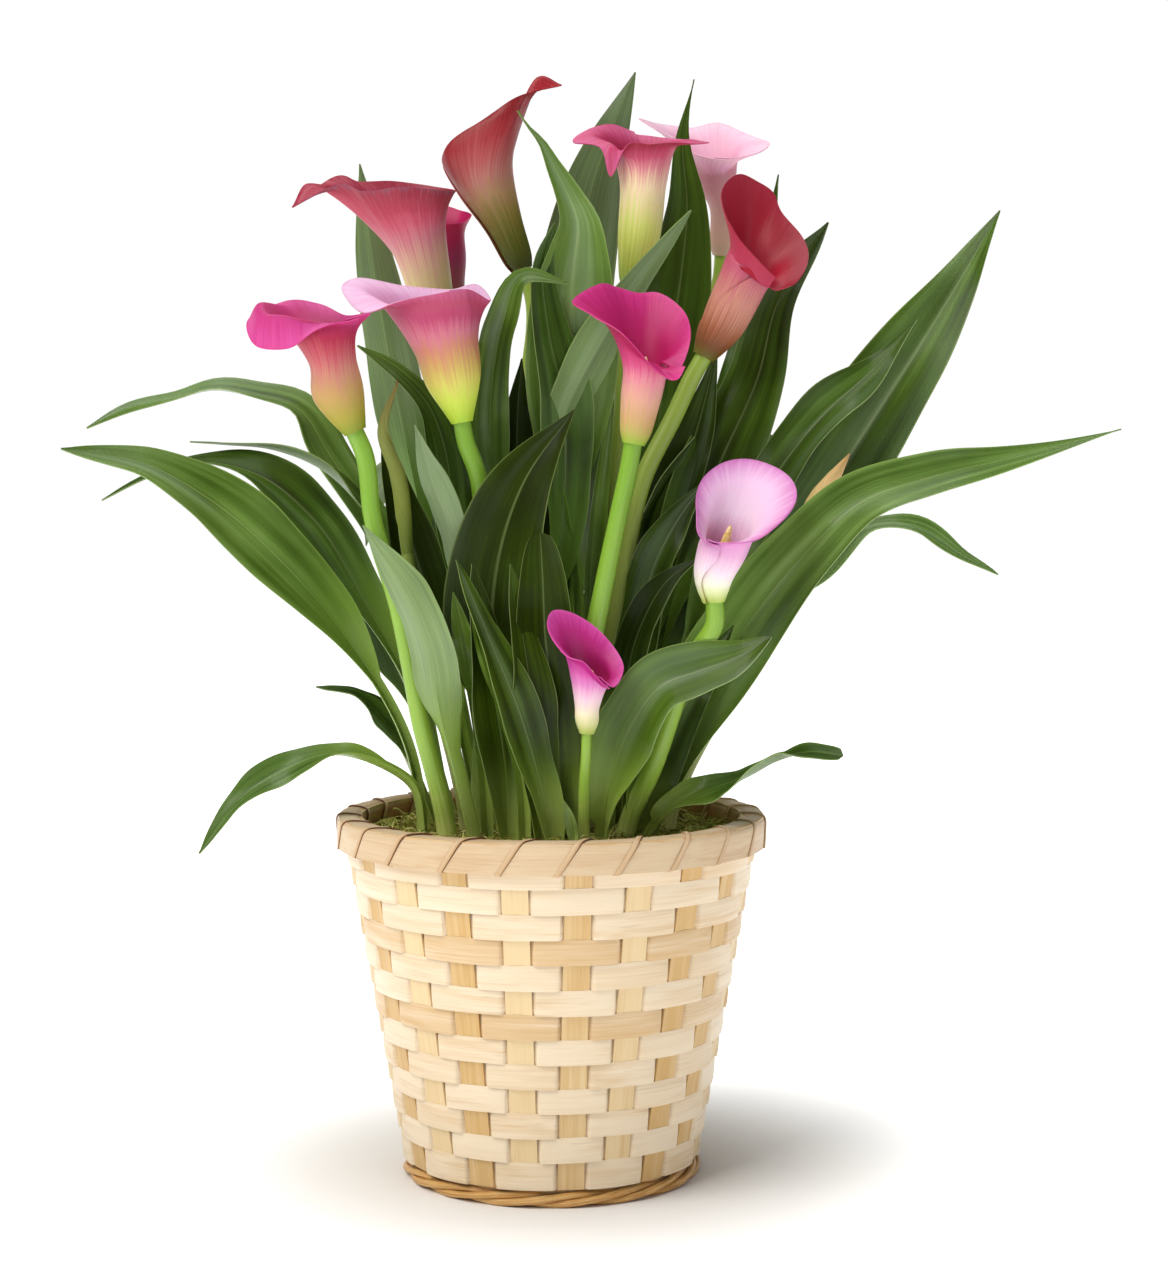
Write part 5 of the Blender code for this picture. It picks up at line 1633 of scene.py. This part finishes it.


# The clump: (x, z) points above the moss in the front view, and how far back each shoot lies.
# Each leaf's shade, after its faces, is partly painted shade for leaves deep in the clump.
LEAVES = (
    Leaf((-46, 30), ((-62, 222), (-78, 274), (-99, 308), (-111, 326), (-130, 332), (-148, 335),
         (-166, 331), (-185, 327), (-204, 318)), (42, 42), 22.0, ((0.5, -0.7, 0.4),
         (0.3, -0.9, 0.4), (0.1, -0.3, 1.0), (0.1, -0.7, 0.8)), 0.6, 0.35, 0.5),
    Leaf((-54, 0), ((-62, 185), (-84, 225), (-114, 262), (-144, 288), (-169, 302), (-206, 309)),
         (-12, -6), 31.0, ((0.4, -0.8, 0.4), (0.3, -0.9, 0.5), (0.1, -0.8, 0.7)), 0.51, 0.4, 0.5),
    Leaf((-44, 2), ((-60, 204), (-81, 245), (-101, 278), (-126, 298), (-152, 303), (-172, 297),
         (-192, 287)), (12, 10), 26.0, ((0.5, -0.7, 0.4), (0.3, -0.8, 0.6), (0.0, -0.1, 1.0)), 0.42,
         0.25, 0.5),
    Leaf((-54, -13), ((-59, 168), (-71, 176), (-91, 181), (-113, 174), (-132, 161), (-147, 140)),
         (-14, -24), 14.5, ((0.6, -0.2, 0.8), (0.0, -0.25, 1.0), (-0.4, -0.9, 0.5),
         (-0.5, -0.9, 0.4)), 0.56, 0.25, 0.6, stalk=5.0),
    Leaf((-31, -40), ((-38, 175), (-45, 204), (-49, 228), (-59, 252), (-76, 278)), (-48, -44), 21.0,
         ((0.3, 0.9, 0.2), (0.2, 0.9, 0.2)), 0.62, 0.8, 0.5, stalk=9.0),
    Leaf((-32, -20), ((-37, 263), (-45, 285), (-51, 302), (-56, 319)), (-16, -24), 17.0,
         ((0.8, 0.4, 0.2), (0.3, 0.9, 0.1)), 0.45, 0.45, 0.7, start=0.5),
    Leaf((-26, 10), ((-41, 259), (-43, 290), (-46, 310), (-53, 328), (-66, 342), (-83, 353)),
         (14, 16), 20.0, ((0.4, -0.8, 0.3), (0.3, -0.8, 0.5)), 0.45, 0.3, 0.6, start=0.4),
    Leaf((-30, 38), ((-54, 257), (-70, 331), (-78, 374), (-83, 407), (-87, 437)), (80, 82), 26.0,
         ((0.2, 0.9, 0.2), (0.2, 0.9, 0.1)), 0.4, 0.3, 0.35, start=0.45),
    Leaf((-14, 2), ((-20, 259), (-25, 335), (-20, 362), (-12, 381), (8, 378)), (26, -6), 18.0,
         ((0.2, -0.9, 0.2), (-0.4, -0.9, 0.3)), 0.52, 0.5, 0.5, stalk=5.0, start=0.5),
    Leaf((4, 22), ((7, 249), (7, 320), (8, 352), (8, 374), (10, 391), (11, 404), (6, 418), (1, 428),
         (-4, 438), (-10, 445), (-14, 451)), (18, 4), 42.0, ((0.0, -1.0, 0.1), (0.1, -1.0, 0.2),
         (0.5, -0.8, 0.1)), 0.62, 0.45, 0.5, start=0.4, slim=1.8),
    Leaf((8, 38), ((5, 247), (6, 326), (8, 374), (18, 427), (37, 477)), (76, 76), 38.0,
         ((0.0, 1.0, 0.1), (0.2, 0.9, 0.2)), 0.38, 0.25, 0.3, start=0.45),
    Leaf((30, 30), ((41, 258), (50, 342), (57, 384), (60, 416), (58, 448), (63, 473)), (68, 70),
         33.0, ((0.0, -1.0, 0.1), (-0.1, -1.0, 0.2)), 0.36, 0.5, 0.4, start=0.4, slim=1.6),
    Leaf((33, 14), ((51, 238), (72, 300), (90, 341), (98, 372), (120, 407)), (34, 36), 34.0,
         ((-0.3, -0.9, 0.2), (-0.2, -1.0, 0.1), (-0.3, -0.9, 0.3)), 0.3, 0.6, 0.4, start=0.3,
         wave=6.5, waves=1.6),
    Leaf((44, 22), ((77, 223), (119, 289), (150, 336), (176, 378), (196, 413)), (44, 46), 50.0,
         ((-0.4, -0.8, 0.3), (-0.3, -0.9, 0.4), (-0.4, -0.8, 0.3)), 0.43, 0.45, 0.4, start=0.2),
    Leaf((44, 4), ((60, 229), (91, 290), (116, 323), (140, 345), (156, 364)), (16, 14), 26.0,
         ((-0.4, -0.8, 0.3), (-0.3, -0.9, 0.5), (-0.3, -0.8, 0.5)), 0.35, 0.3, 0.4, start=0.35,
         wave=4.0),
    Leaf((42, -16), ((59, 192), (81, 234), (106, 266), (127, 286), (156, 297), (185, 304),
         (210, 310), (235, 317)), (-32, -30), 37.0, ((-0.4, -0.8, 0.4), (-0.3, -0.9, 0.5),
         (-0.2, -0.9, 0.6), (-0.1, -0.9, 0.3)), 0.61, 0.32, 0.4, stalk=9.0, start=0.02, slim=1.2,
         bulge=0.6),
    Leaf((50, 12), ((81, 219), (119, 259), (136, 275), (157, 275), (177, 263), (192, 255)),
         (12, 14), 12.0, ((-0.5, -0.5, 0.5), (-0.1, -0.7, 1.0), (0.1, -0.7, 1.0)), 0.7, 0.2, 0.4,
         start=0.45, slim=0.5),
    Leaf((22, -38), ((25, 170), (34, 197), (46, 213), (61, 219), (77, 225), (90, 233)), (-52, -52),
         30.0, ((-0.4, -0.8, 0.3), (-0.3, -0.9, 0.5)), 0.42, 0.7, 0.5, stalk=9.0, start=0.1,
         slim=0.7),
    Leaf((37, -33), ((47, 158), (66, 169), (82, 176), (92, 182), (106, 186), (119, 185)),
         (-44, -56), 15.0, ((-0.3, -0.8, 0.6), (-0.1, -0.7, 0.9), (0.1, -0.6, 1.0), (0.1, 0.2, 1.0),
         (0.1, -0.9, 0.5)), 0.46, 0.15, 0.4, stalk=5.0, start=0.15, slim=0.3),
    Leaf((16, 12), ((12, 250), (6, 323), (20, 352), (38, 380), (59, 409)), (2, 0), 20.0,
         ((0.0, 1.0, 0.1), (-0.5, 0.8, 0.2)), 0.5, 0.4, 0.3, start=0.5),
    Leaf((-9, -22), ((-13, 192), (-24, 232), (-21, 266), (-11, 295), (10, 325)), (-26, -22), 42.0,
         ((0.1, -1.0, 0.1), (0.0, -1.0, 0.2), (-0.3, -0.9, 0.2)), 0.18, 0.9, 0.4, start=0.2),
    Leaf((5, -29), ((3, 194), (-2, 233), (-3, 257), (-4, 275)), (-40, -38), 27.0, ((0.0, -1.0, 0.1),
         (0.0, -1.0, 0.2)), 0.2, 0.85, 0.4, start=0.05, slim=0.34),
    Leaf((-20, 46), ((-35, 220), (-52, 275), (-68, 300), (-82, 292), (-92, 262)), (90, 165), 30.0,
         ((0.3, -0.9, 0.3), (0.2, -0.5, 0.9), (-0.2, 0.3, 1.0)), 0.4, 0.3, 0.4),
    Leaf((-1, 52), ((4, 230), (8, 310), (10, 350), (12, 362), (14, 350)), (80, 170), 34.0,
         ((0.0, -0.9, 0.3), (0.0, -0.4, 0.9), (0.0, 0.2, 1.0)), 0.4, 0.3, 0.4),
    Leaf((38, 44), ((60, 225), (85, 285), (104, 312), (118, 300), (126, 270)), (95, 150), 30.0,
         ((-0.3, -0.9, 0.3), (-0.2, -0.5, 0.9), (0.2, 0.3, 1.0)), 0.4, 0.3, 0.4),
)

# Leaves that only this dressed plant has: they stand among the others inside the clump.
UNDERGROWTH = (
    Leaf((-36, 18), ((-60, 240), (-80, 282), (-98, 300), (-120, 309), (-140, 311), (-155, 312)),
         (20, 16), 16.0, ((0.5, -0.4, 0.4), (0.3, 0.0, 1.0), (0.1, 0.1, 1.0)), 0.45, 0.3, 0.5),
    Leaf((-50, 14), ((-60, 170), (-72, 192), (-85, 204), (-101, 207)), (12, 10), 12.0,
         ((0.7, -0.5, 0.4), (0.2, -0.5, 1.0)), 0.5, 0.4, 0.5, stalk=5.0),
    Leaf((40, 36), ((70, 300), (90, 380), (97, 410), (100, 430)), (58, 60), 12.0, ((0.1, -1.0, 0.1),
         (-0.6, -0.8, 0.2)), 0.4, 0.3, 0.5, stalk=5.0, start=0.55),
    Leaf((-5, 26), ((-12, 260), (-15, 320), (-13, 348)), (30, 30), 24.0, ((0.0, -1.0, 0.1),
         (0.0, -1.0, 0.2)), 0.15, 0.75, 0.4),
    Leaf((15, 6), ((20, 280), (27, 338)), (10, 16), 8.0, ((0.0, -1.0, 0.1), (0.2, -1.0, 0.2)), 0.5,
         0.7, 0.5, stalk=5.0),
    Leaf((28, 2), ((35, 220), (45, 262), (58, 285), (68, 297)), (0, 2), 22.0, ((-0.3, -0.9, 0.2),
         (-0.4, -0.8, 0.3)), 0.3, 0.35, 0.5),
    Leaf((25, -8), ((30, 200), (38, 235), (50, 255), (62, 263)), (-16, -16), 18.0,
         ((-0.3, -0.9, 0.2), (-0.4, -0.8, 0.3)), 0.2, 0.3, 0.5),
    Leaf((20, 20), ((35, 270), (45, 290), (62, 314)), (24, 26), 12.0, ((0.9, -0.4, 0.2),
         (0.8, -0.5, 0.3)), 0.3, 0.35, 0.5),
    Leaf((1, -46), ((-3, 166), (-12, 200), (-24, 230), (-38, 264)), (-50, -46), 19.0,
         ((0.5, -0.9, 0.1), (0.6, -0.8, 0.1)), 0.3, 0.9, 0.3, stalk=8.0, start=0.0, bulge=0.7),
    Leaf((-26, -30), ((-28, 180), (-33, 215), (-40, 250)), (-34, -32), 9.0, ((0.1, -1.0, 0.1),
         (0.1, -1.0, 0.1)), 0.6, 0.75, 0.4, stalk=8.0, start=0.6),
    Leaf((-18, -33), ((-19, 178), (-24, 212), (-32, 262)), (-36, -34), 23.0, ((0.3, -0.9, 0.1),
         (0.5, -0.9, 0.1)), 0.24, 0.95, 0.4, stalk=9.0, start=0.0),
    Leaf((-10, -40), ((-12, 175), (-20, 205), (-32, 246)), (-44, -40), 8.0, ((0.0, -1.0, 0.1),
         (0.1, -1.0, 0.1)), 0.5, 0.95, 0.4, stalk=8.0, start=0.6),
    Leaf((-4, -40), ((-5, 178), (-8, 210), (-16, 262)), (-43, -41), 20.0, ((0.4, -0.9, 0.1),
         (0.5, -0.9, 0.1)), 0.27, 0.95, 0.4, stalk=9.0, start=0.0),
    Leaf((36, -28), ((46, 180), (60, 210), (76, 236)), (-30, -28), 22.0, ((-0.2, -0.9, 0.1),
         (-0.3, -0.9, 0.2)), 0.3, 0.85, 0.4, stalk=9.0, start=0.0),
    Leaf((10, -50), ((9, 154), (6, 166)), (-53, -52), 5.0, ((0.2, -1.0, 0.1), (0.0, -1.0, 0.1)),
         0.8, 0.75, 0.3, stalk=4.0, start=0.2, wave=0.5),
    Leaf((-4, 4), ((0, 240), (6, 300), (5, 330), (-1, 358), (-3, 388), (2, 404)), (6, 1), 25.0,
         ((0.3, -0.9, 0.1), (0.5, -0.9, 0.1), (0.4, -0.9, 0.2)), 0.42, 0.1, 0.4, start=0.4,
         slim=0.8),
    Leaf((-12, 8), ((-16, 230), (-22, 268), (-33, 292)), (14, 12), 20.0, ((0.2, -0.9, 0.2),
         (0.1, -0.9, 0.3)), 0.17, 0.75, 0.4),
    Leaf((-2, 14), ((-4, 240), (2, 300), (0, 340)), (20, 24), 22.0, ((-0.2, -0.9, 0.1),
         (-0.3, -0.9, 0.2)), 0.13, 0.7, 0.4),
    Leaf((22, 26), ((40, 250), (64, 320), (72, 352)), (32, 34), 26.0, ((-0.2, -0.9, 0.2),
         (-0.3, -0.9, 0.2)), 0.2, 0.7, 0.4),
    Leaf((34, 20), ((58, 230), (88, 282), (104, 300)), (24, 26), 26.0, ((-0.3, -0.9, 0.2),
         (-0.3, -0.9, 0.3)), 0.22, 0.65, 0.4),
    Leaf((-30, 20), ((-50, 230), (-66, 285), (-74, 318)), (30, 34), 24.0, ((0.3, -0.9, 0.2),
         (0.3, -0.9, 0.2)), 0.22, 0.65, 0.4),
    Leaf((-10, 50), ((-22, 230), (-34, 300), (-30, 345)), (86, 128), 30.0, ((0.1, -0.8, 0.4),
         (0.0, -0.4, 0.9), (0.0, 0.3, 1.0)), 0.4, 0.3, 0.4),
    Leaf((22, 52), ((34, 220), (44, 280), (46, 300)), (82, 150), 32.0, ((0.0, -0.8, 0.4),
         (0.0, -0.3, 0.9), (0.0, 0.3, 1.0)), 0.42, 0.35, 0.4),
    Leaf((48, 36), ((76, 200), (108, 250), (134, 268)), (70, 96), 26.0, ((-0.4, -0.7, 0.4),
         (-0.2, -0.3, 1.0), (0.1, 0.2, 1.0)), 0.4, 0.3, 0.4),
    Leaf((-44, 40), ((-66, 200), (-92, 240), (-116, 250)), (66, 92), 26.0, ((0.4, -0.7, 0.4),
         (0.2, -0.3, 1.0), (-0.1, 0.2, 1.0)), 0.42, 0.3, 0.4),
)

FLOWERS = (
    Flower((-43, -24), ((-54, 198), (-62, 242), (-73, 281), (-80, 316)), (-34, -34),
           (-89.5, 331, -1, 9.6), (-92, 347, -3, 9.6), ((0, -76, 366, 0, -81, 360, 0),
           (45, -86, 365, 9, -86, 361, 8), (90, -98, 370, 14, -96, 364, 11),
           (135, -113, 371, 14, -108, 367, 12), (180, -128, 361, 2, -122, 370, 1),
           (205, -124, 352, -7, -121, 366, -8), (230, -112, 351, -13, -112, 365, -12),
           (270, -98, 360, -14, -96, 362, -11), (315, -85, 363, -9, -85, 361, -7)), Petal.HOT_PINK,
           seam=320.0, tint=0.9),
    Flower((-24, -12), ((-27, 226), (-28, 270), (-31, 300), (-37, 320)), (-12, -12),
           (-40.5, 336, 0, 10.8), (-44, 353, -1, 13.6), ((0, -25, 371, 0, -28, 367, 0),
           (45, -31, 378, 9, -33, 370, 8), (90, -43, 376, 15, -44, 369, 12),
           (135, -63, 377.5, 15, -58, 371, 12), (165, -82, 381, 6, -72, 375, 5),
           (190, -88, 376, -3, -76, 374, -2), (212, -80, 366.5, -10, -69, 370, -8),
           (235, -66, 370.5, -15, -60, 368, -12), (270, -50, 374, -17, -48, 368, -14),
           (315, -35, 376, -12, -34, 369, -10)), Petal.ROSE_BLUSH, seam=300.0, tint=0.9),
    Flower((-19, 26), ((-27, 238), (-40, 310), (-47, 345)), (34, 44), (-49.5, 368, 0, 8.2),
           (-55.5, 394, -1, 11.6), ((0, -39.5, 417, 0, -43.5, 411, 0),
           (45, -47, 418.5, 10, -49, 411, 8), (90, -62, 420.5, 14, -60, 413, 11),
           (135, -80, 421, 9, -74, 414, 7), (165, -94, 421.5, 3, -86, 418, 2),
           (180, -109, 410, -1, -101, 420, 0), (195, -93, 418.5, -4, -85, 414.5, -3),
           (225, -79, 417, -9, -74, 409, -8), (270, -62, 419, -14, -61, 411, -11),
           (315, -47, 417.5, -10, -48, 410, -8)), Petal.RED_ROSE, seam=335.0, tint=0.3),
    Flower((-3, 30), ((-9, 238), (-11, 331), (-13, 388)), (40, 56), (-19, 402, 0, 7.6),
           (-27, 420, 0, 12.4), ((0, -8, 457, 2, -14, 440, 2), (45, -16, 450, 8, -17, 436, 8),
           (90, -26, 440, 13, -27, 430, 12), (135, -35, 430, 14, -38, 429, 12),
           (170, -40, 427, 10, -45.5, 429, 4), (200, -40, 438, 2, -44.5, 434, -5),
           (235, -33, 444, -6, -37.5, 440, -9), (270, -22, 451, -9, -24, 446, -11),
           (300, -12, 457, -10, -15, 449, -10), (330, 4.5, 461, -4, -6, 463, -5),
           (345, -5, 461, -1, -11, 450, -2)), Petal.DARK_RED, seam=150.0, tint=0.2, frill=0.3),
    Flower((12, 28), ((20, 238), (31, 331), (34, 380)), (32, 38), (36.5, 396, 0, 8.6),
           (38.5, 421, 0, 10.0), ((0, 66.5, 437.5, -2, 55, 438, -1), (45, 50, 439, 9, 48, 436, 8),
           (90, 38, 440.5, 14, 39, 436, 11), (135, 24, 444.5, 10, 28, 438, 8),
           (165, 15, 441.5, 4, 22, 440, 3), (190, 9.5, 437, -3, 19, 439, -2),
           (212, 21, 434.5, -8, 26, 436, -7), (232, 25.5, 423, -11, 26, 435, -11),
           (248, 31, 435, -13, 31, 433, -11), (275, 42, 436.5, -14, 41, 433, -12),
           (320, 58, 437, -8, 51, 435, -8)), Petal.PINK_CREAM, seam=110.0, tint=0.3),
    Flower((24, 44), ((38, 246), (66, 354), (78, 398)), (92, 110), (73.5, 408, -1, 6.4),
           (70, 421, -4, 9.0), ((0, 92, 436.5, -2, 82, 435, -2), (45, 81, 441, 9, 77, 437, 7),
           (75, 71, 445, 14, 70, 439, 11), (110, 59, 443.5, 15, 61, 438, 11),
           (150, 46, 445, 9, 52, 440, 6), (180, 37, 447, -2, 48, 440, -3),
           (215, 50, 440, -13, 55, 435, -10), (270, 67, 431, -22, 67, 427, -18),
           (315, 83, 431, -15, 77, 428, -13)), Petal.PALE_PINK, seam=285.0, spadix=40.0, tint=0.3),
    Flower((19, 0), ((32, 265), (40, 298), (52, 322), (65, 348)), (8, 12), (71.5, 360, 0, 8.8),
           (82, 382, -1, 10.4), ((0, 108, 387, -4, 100, 384, -4), (38, 105.5, 398.5, 7, 97, 391, 6),
           (60, 97, 408.5, 12, 92, 397, 9), (80, 93.5, 416.5, 14, 88, 400, 11),
           (100, 87, 421, 13, 84, 402, 11), (125, 79, 424, 10, 80, 403, 8),
           (145, 74, 421, 6, 77.5, 402, 4), (170, 71.5, 414, 0, 75.5, 399, -1),
           (205, 76.5, 401, -8, 77.5, 391, -7), (245, 85.5, 390, -14, 83, 383, -12),
           (285, 94.5, 381, -17, 90, 377, -13), (322, 101.5, 378.5, -14, 97, 377, -11)),
           Petal.CRIMSON, seam=302.0, twist=-95.0, wrap=-1.0, part=34.0, tint=0.3, frill=0.3),
    Flower((6, -13), ((17, 227), (21, 247), (28, 281), (34, 311)), (-34, -35), (37.5, 329, 0, 7.4),
           (39.5, 343, -1, 8.6), ((0, 59, 356, -3, 53, 350, -2), (40, 56, 367, 7, 50, 357, 5),
           (75, 45.5, 374.5, 14, 43.5, 360, 10), (105, 36, 374.5, 15, 37.5, 361, 11),
           (130, 28, 377, 12, 32, 362, 9), (155, 20, 378, 7, 28, 362.5, 6),
           (180, 9, 371, 0, 22, 363, 0), (205, 17, 366, -8, 25, 361, -7),
           (232, 25.5, 361, -13, 29.5, 357, -11), (262, 34.5, 353.5, -17, 35.5, 351, -14),
           (292, 45, 341.5, -18, 41.5, 345.5, -13), (325, 53.5, 340.5, -12, 48, 344.5, -9)),
           Petal.MAGENTA, seam=335.0, twist=35.0, flap=(-1.5, -11.0, -5.0), spadix=36.0, tint=0.95),
    Flower((31, -28), ((44, 182), (59.5, 225), (67, 247)), (-38, -48), (69, 254, -1, 7.2),
           (72.5, 265, -4, 9.4), ((0, 104, 287, -8, 91, 279, -7), (40, 100, 298, 2, 90, 290, 1),
           (75, 86, 304.5, 8, 82, 293, 5), (105, 74, 303.5, 8, 75, 292, 5),
           (140, 64, 296, 2, 69, 286, 1), (180, 62, 282, -8, 66, 275, -5),
           (225, 65, 270.5, -17, 67, 269.5, -13), (270, 76, 268.5, -24, 75, 268, -18),
           (315, 92, 273, -21, 85, 271.5, -15)), Petal.LAVENDER, seam=240.0, twist=-35.0,
           spadix=33.0, tint=0.75),
    Flower((14, -43), ((14, 171), (15, 194)), (-52, -55), (15.3, 199, 0, 4.4), (16.8, 210, -1, 7.4),
           ((0, 31, 215.5, -3, 26.5, 212, -3), (40, 28, 223, 4, 24, 219, 3),
           (75, 20, 232.5, 7, 18, 225, 5), (110, 10, 239, 7, 11, 229, 5),
           (145, 1, 240.5, 3, 6, 229, 2), (180, -1.5, 234, -3, 5, 225, -3),
           (215, 5, 223.5, -9, 8, 221, -7), (265, 15, 217.5, -13, 14.5, 216, -10),
           (315, 26, 207.5, -9, 22.5, 208.5, -7)), Petal.ORCHID, seam=300.0, stem=2.1, spadix=26.0,
           tint=0.7),
    Flower((-10, 44), ((-26, 247), (-39, 321), (-44, 352)), (60, 76), (-43, 372, 0, 7.0),
           (-43.5, 388, 0, 8.2), ((0, -33, 407, 0, -36, 401, 0), (45, -38, 409, 8, -39, 403, 6),
           (90, -46, 411, 11, -46, 404, 9), (135, -54, 409, 8, -52, 403, 6),
           (180, -58, 404, 0, -54, 400, 0), (225, -52, 402, -7, -51, 398, -6),
           (270, -44, 403, -10, -44, 398, -8), (315, -37, 404, -7, -38, 400, -6)),
           Petal.MAGENTA_BACK, tint=0.4),
)

BUDS = (
    Bud((-36, -10), ((-47, 201), (-55, 236), (-60, 262)), (-10, -8), 76.0, 3.6, (-0.05, 0.0, 1.0),
        Petal.RED_EDGED, bends=((-65, 299), (-71, 316))),
    Bud((50, -6), ((77, 209), (96, 252), (107.5, 278.5)), (0, 0), 34.0, 4.0, (0.55, 0.0, 0.83),
        Petal.STRAW),
)

SPATHE_SLOTS = tuple("spathe_" + kind for kind in (
    "pink", "blush", "crimson", "crimson", "pink", "blush", "crimson", "magenta", "blush",
    "magenta", "magenta"))
BRIGHT = 0.45       # flowers with a tint over this have the brighter stem


@dataclass
class Clump:
    """The plant: leaves, flowers and buds."""

    leaves: tuple[Leaf, ...] = LEAVES
    undergrowth: tuple[Leaf, ...] = UNDERGROWTH
    flowers: tuple[Flower, ...] = FLOWERS
    buds: tuple[Bud, ...] = BUDS
    lime: StemSkin = StemSkin("lime_stem", ((0.0, "#C4CC78"), (0.12, "#90B43C"), (0.5, "#78A42E"),
                                            (0.85, "#86AE3A")))
    olive: StemSkin = StemSkin("olive_stem", ((0.0, "#B8B878"), (0.12, "#8A9440"), (0.4, "#7A8A34"),
                                              (0.75, "#8EA83E")))

    def build(self) -> None:
        """Make every shoot."""
        skin = LeafSkin().material()
        for number, leaf in enumerate(self.leaves, 1):
            place(f"leaf_blade_{number:02d}", leaf.shell(number), skin, "leaf",
                  (f"leaf_{number:02d}",), 40.0)
        for number, leaf in enumerate(self.undergrowth, 1):
            place(f"young_leaf_{number:02d}", leaf.shell(100 + number), skin, "leaf", (), 40.0)
        stems = (self.olive.material(), self.lime.material())
        spadix = SpadixSkin().material()
        petals = {petal: petal.value.material() for petal in Petal}
        for number, flower in enumerate(self.flowers, 1):
            place(f"flower_stalk_{number:02d}", flower.stem_shell(200 + number),
                  stems[flower.tint > BRIGHT], "stalk", (f"flower_stem_{number:02d}",))
            place(f"flower_spadix_{number:02d}", flower.spadix_shell(), spadix, "stalk")
            place(f"flower_spathe_{number:02d}", flower.spathe_shell(300 + number),
                  petals[flower.skin], SPATHE_SLOTS[number - 1], (f"spathe_{number:02d}",), 50.0)
        for number, bud in enumerate(self.buds, 1):
            stalk, roll = bud.shells()
            place(f"bud_stalk_{number:02d}", stalk, stems[0], "stalk", (f"bud_{number:02d}",))
            place(f"bud_roll_{number:02d}", roll, petals[bud.skin], "stalk")


# ---- studio ----


@dataclass(frozen=True)
class Lamp:
    """A soft rectangular light, in metres, aimed at the plant."""

    name: str
    place: Triple
    size: float
    power: float
    colour: str = "#FFFFFF"

    def hang(self, aim: Triple) -> None:
        """Add it to the scene, turned to a point.

        Args:
            aim: The point, in metres.
        """
        light = bpy.data.lights.new(self.name, "AREA")
        light.size = self.size
        light.energy = self.power
        light.color = linear(self.colour)[:3]
        item = linked(self.name, light)
        item.location = self.place
        away = unit(np.array(self.place) - np.array(aim))
        item.rotation_euler = (math.acos(away[2]), 0.0, math.atan2(away[0], -away[1]))


@dataclass
class Studio:
    """Pale floor, soft lights and the camera."""

    pitch: float = 4.0                  # degrees below level
    lens: float = 36.0 * 2649.0 / 1268.0
    aim: Triple = (0.0, 0.0, 0.22)
    sky: float = 0.15                   # light from above
    front: float = 0.2                  # the horizon's light in front of the plant
    back: float = 1.02                  # and behind it
    glow: Pair = (0.16, 0.34)           # the horizon's white fades out between these heights
    reach: float = 6000.0               # half the floor's width
    ground: float = 10.0                # its thickness
    lamps: tuple[Lamp, ...] = (
        Lamp("key_light", (-1.25, -1.2, 2.1), 1.6, 48.0, "#FFFCF6"),
        Lamp("fill_light", (1.3, -1.0, 0.7), 1.2, 2.5, "#F6FAFF"),
        Lamp("top_light", (-0.05, 0.05, 1.5), 1.1, 9.0),
    )

    def floor(self) -> None:
        """Lay a wide pale floor."""
        x, y = np.meshgrid(*[np.linspace(-self.reach, self.reach, 5)] * 2)
        top = np.stack([x, y, 0.0 * x], axis=-1)
        mesh = Shell.slab(top, top - [0.0, 0.0, self.ground]).mesh("studio_floor", 30.0)
        mesh.materials.append(Backlit().material())
        linked("studio_floor", mesh)

    def lights(self) -> None:
        """Hang the lamps and light the sky."""
        for lamp in self.lamps:
            lamp.hang(self.aim)
        world = bpy.data.worlds.new("studio_sky")
        world.use_nodes = True
        nodes, links = world.node_tree.nodes, world.node_tree.links
        split = nodes.new("ShaderNodeSeparateXYZ")
        links.new(nodes.new("ShaderNodeTexCoord").outputs["Generated"], split.inputs[0])
        behind = self.fade(nodes, links, split.outputs["Y"], (0.1, 0.85, self.front, self.back))
        level = self.fade(nodes, links, split.outputs["Z"], (*self.glow, behind, self.sky))
        links.new(level, nodes["Background"].inputs["Strength"])
        nodes["Background"].inputs["Color"].default_value = (1.0, 1.0, 1.0, 1.0)
        bpy.context.scene.world = world
        bpy.context.scene.view_settings.view_transform = "Standard"

    @staticmethod
    def fade(nodes: Any, links: Any, value: Any, limits: tuple[Any, ...]) -> Any:
        """Ease from one level to another between two values.

        Args:
            nodes: Nodes of the tree.
            links: Its links.
            value: Output that decides.
            limits: Where the fade starts and ends, and the two levels, as numbers or outputs.

        Returns:
            The output with the level.
        """
        item = nodes.new("ShaderNodeMapRange")
        item.interpolation_type = "SMOOTHSTEP"
        links.new(value, item.inputs[0])
        for index, limit in enumerate(limits, 1):
            if isinstance(limit, float):
                item.inputs[index].default_value = limit
            else:
                links.new(limit, item.inputs[index])
        return item.outputs[0]

    def camera(self) -> None:
        """Set the camera in front of the plant, a little above its middle."""
        data = bpy.data.cameras.new("front_camera")
        data.lens = self.lens
        data.clip_end = 50.0
        item = linked("front_camera", data)
        item.location = tuple(value * MM for value in VIEW)
        item.rotation_euler = (math.radians(90.0 - self.pitch), 0.0, 0.0)
        bpy.context.scene.camera = item

    def build(self) -> None:
        """Set the stage."""
        self.floor()
        self.lights()
        self.camera()


def main() -> None:
    """Build the basket, the pot and the plant."""
    logging.basicConfig(level=logging.INFO, format="%(name)s: %(message)s")
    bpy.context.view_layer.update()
    for part in (Basket(), Pot(), Clump(), Studio()):
        part.build()


if __name__ == "__main__":
    main()
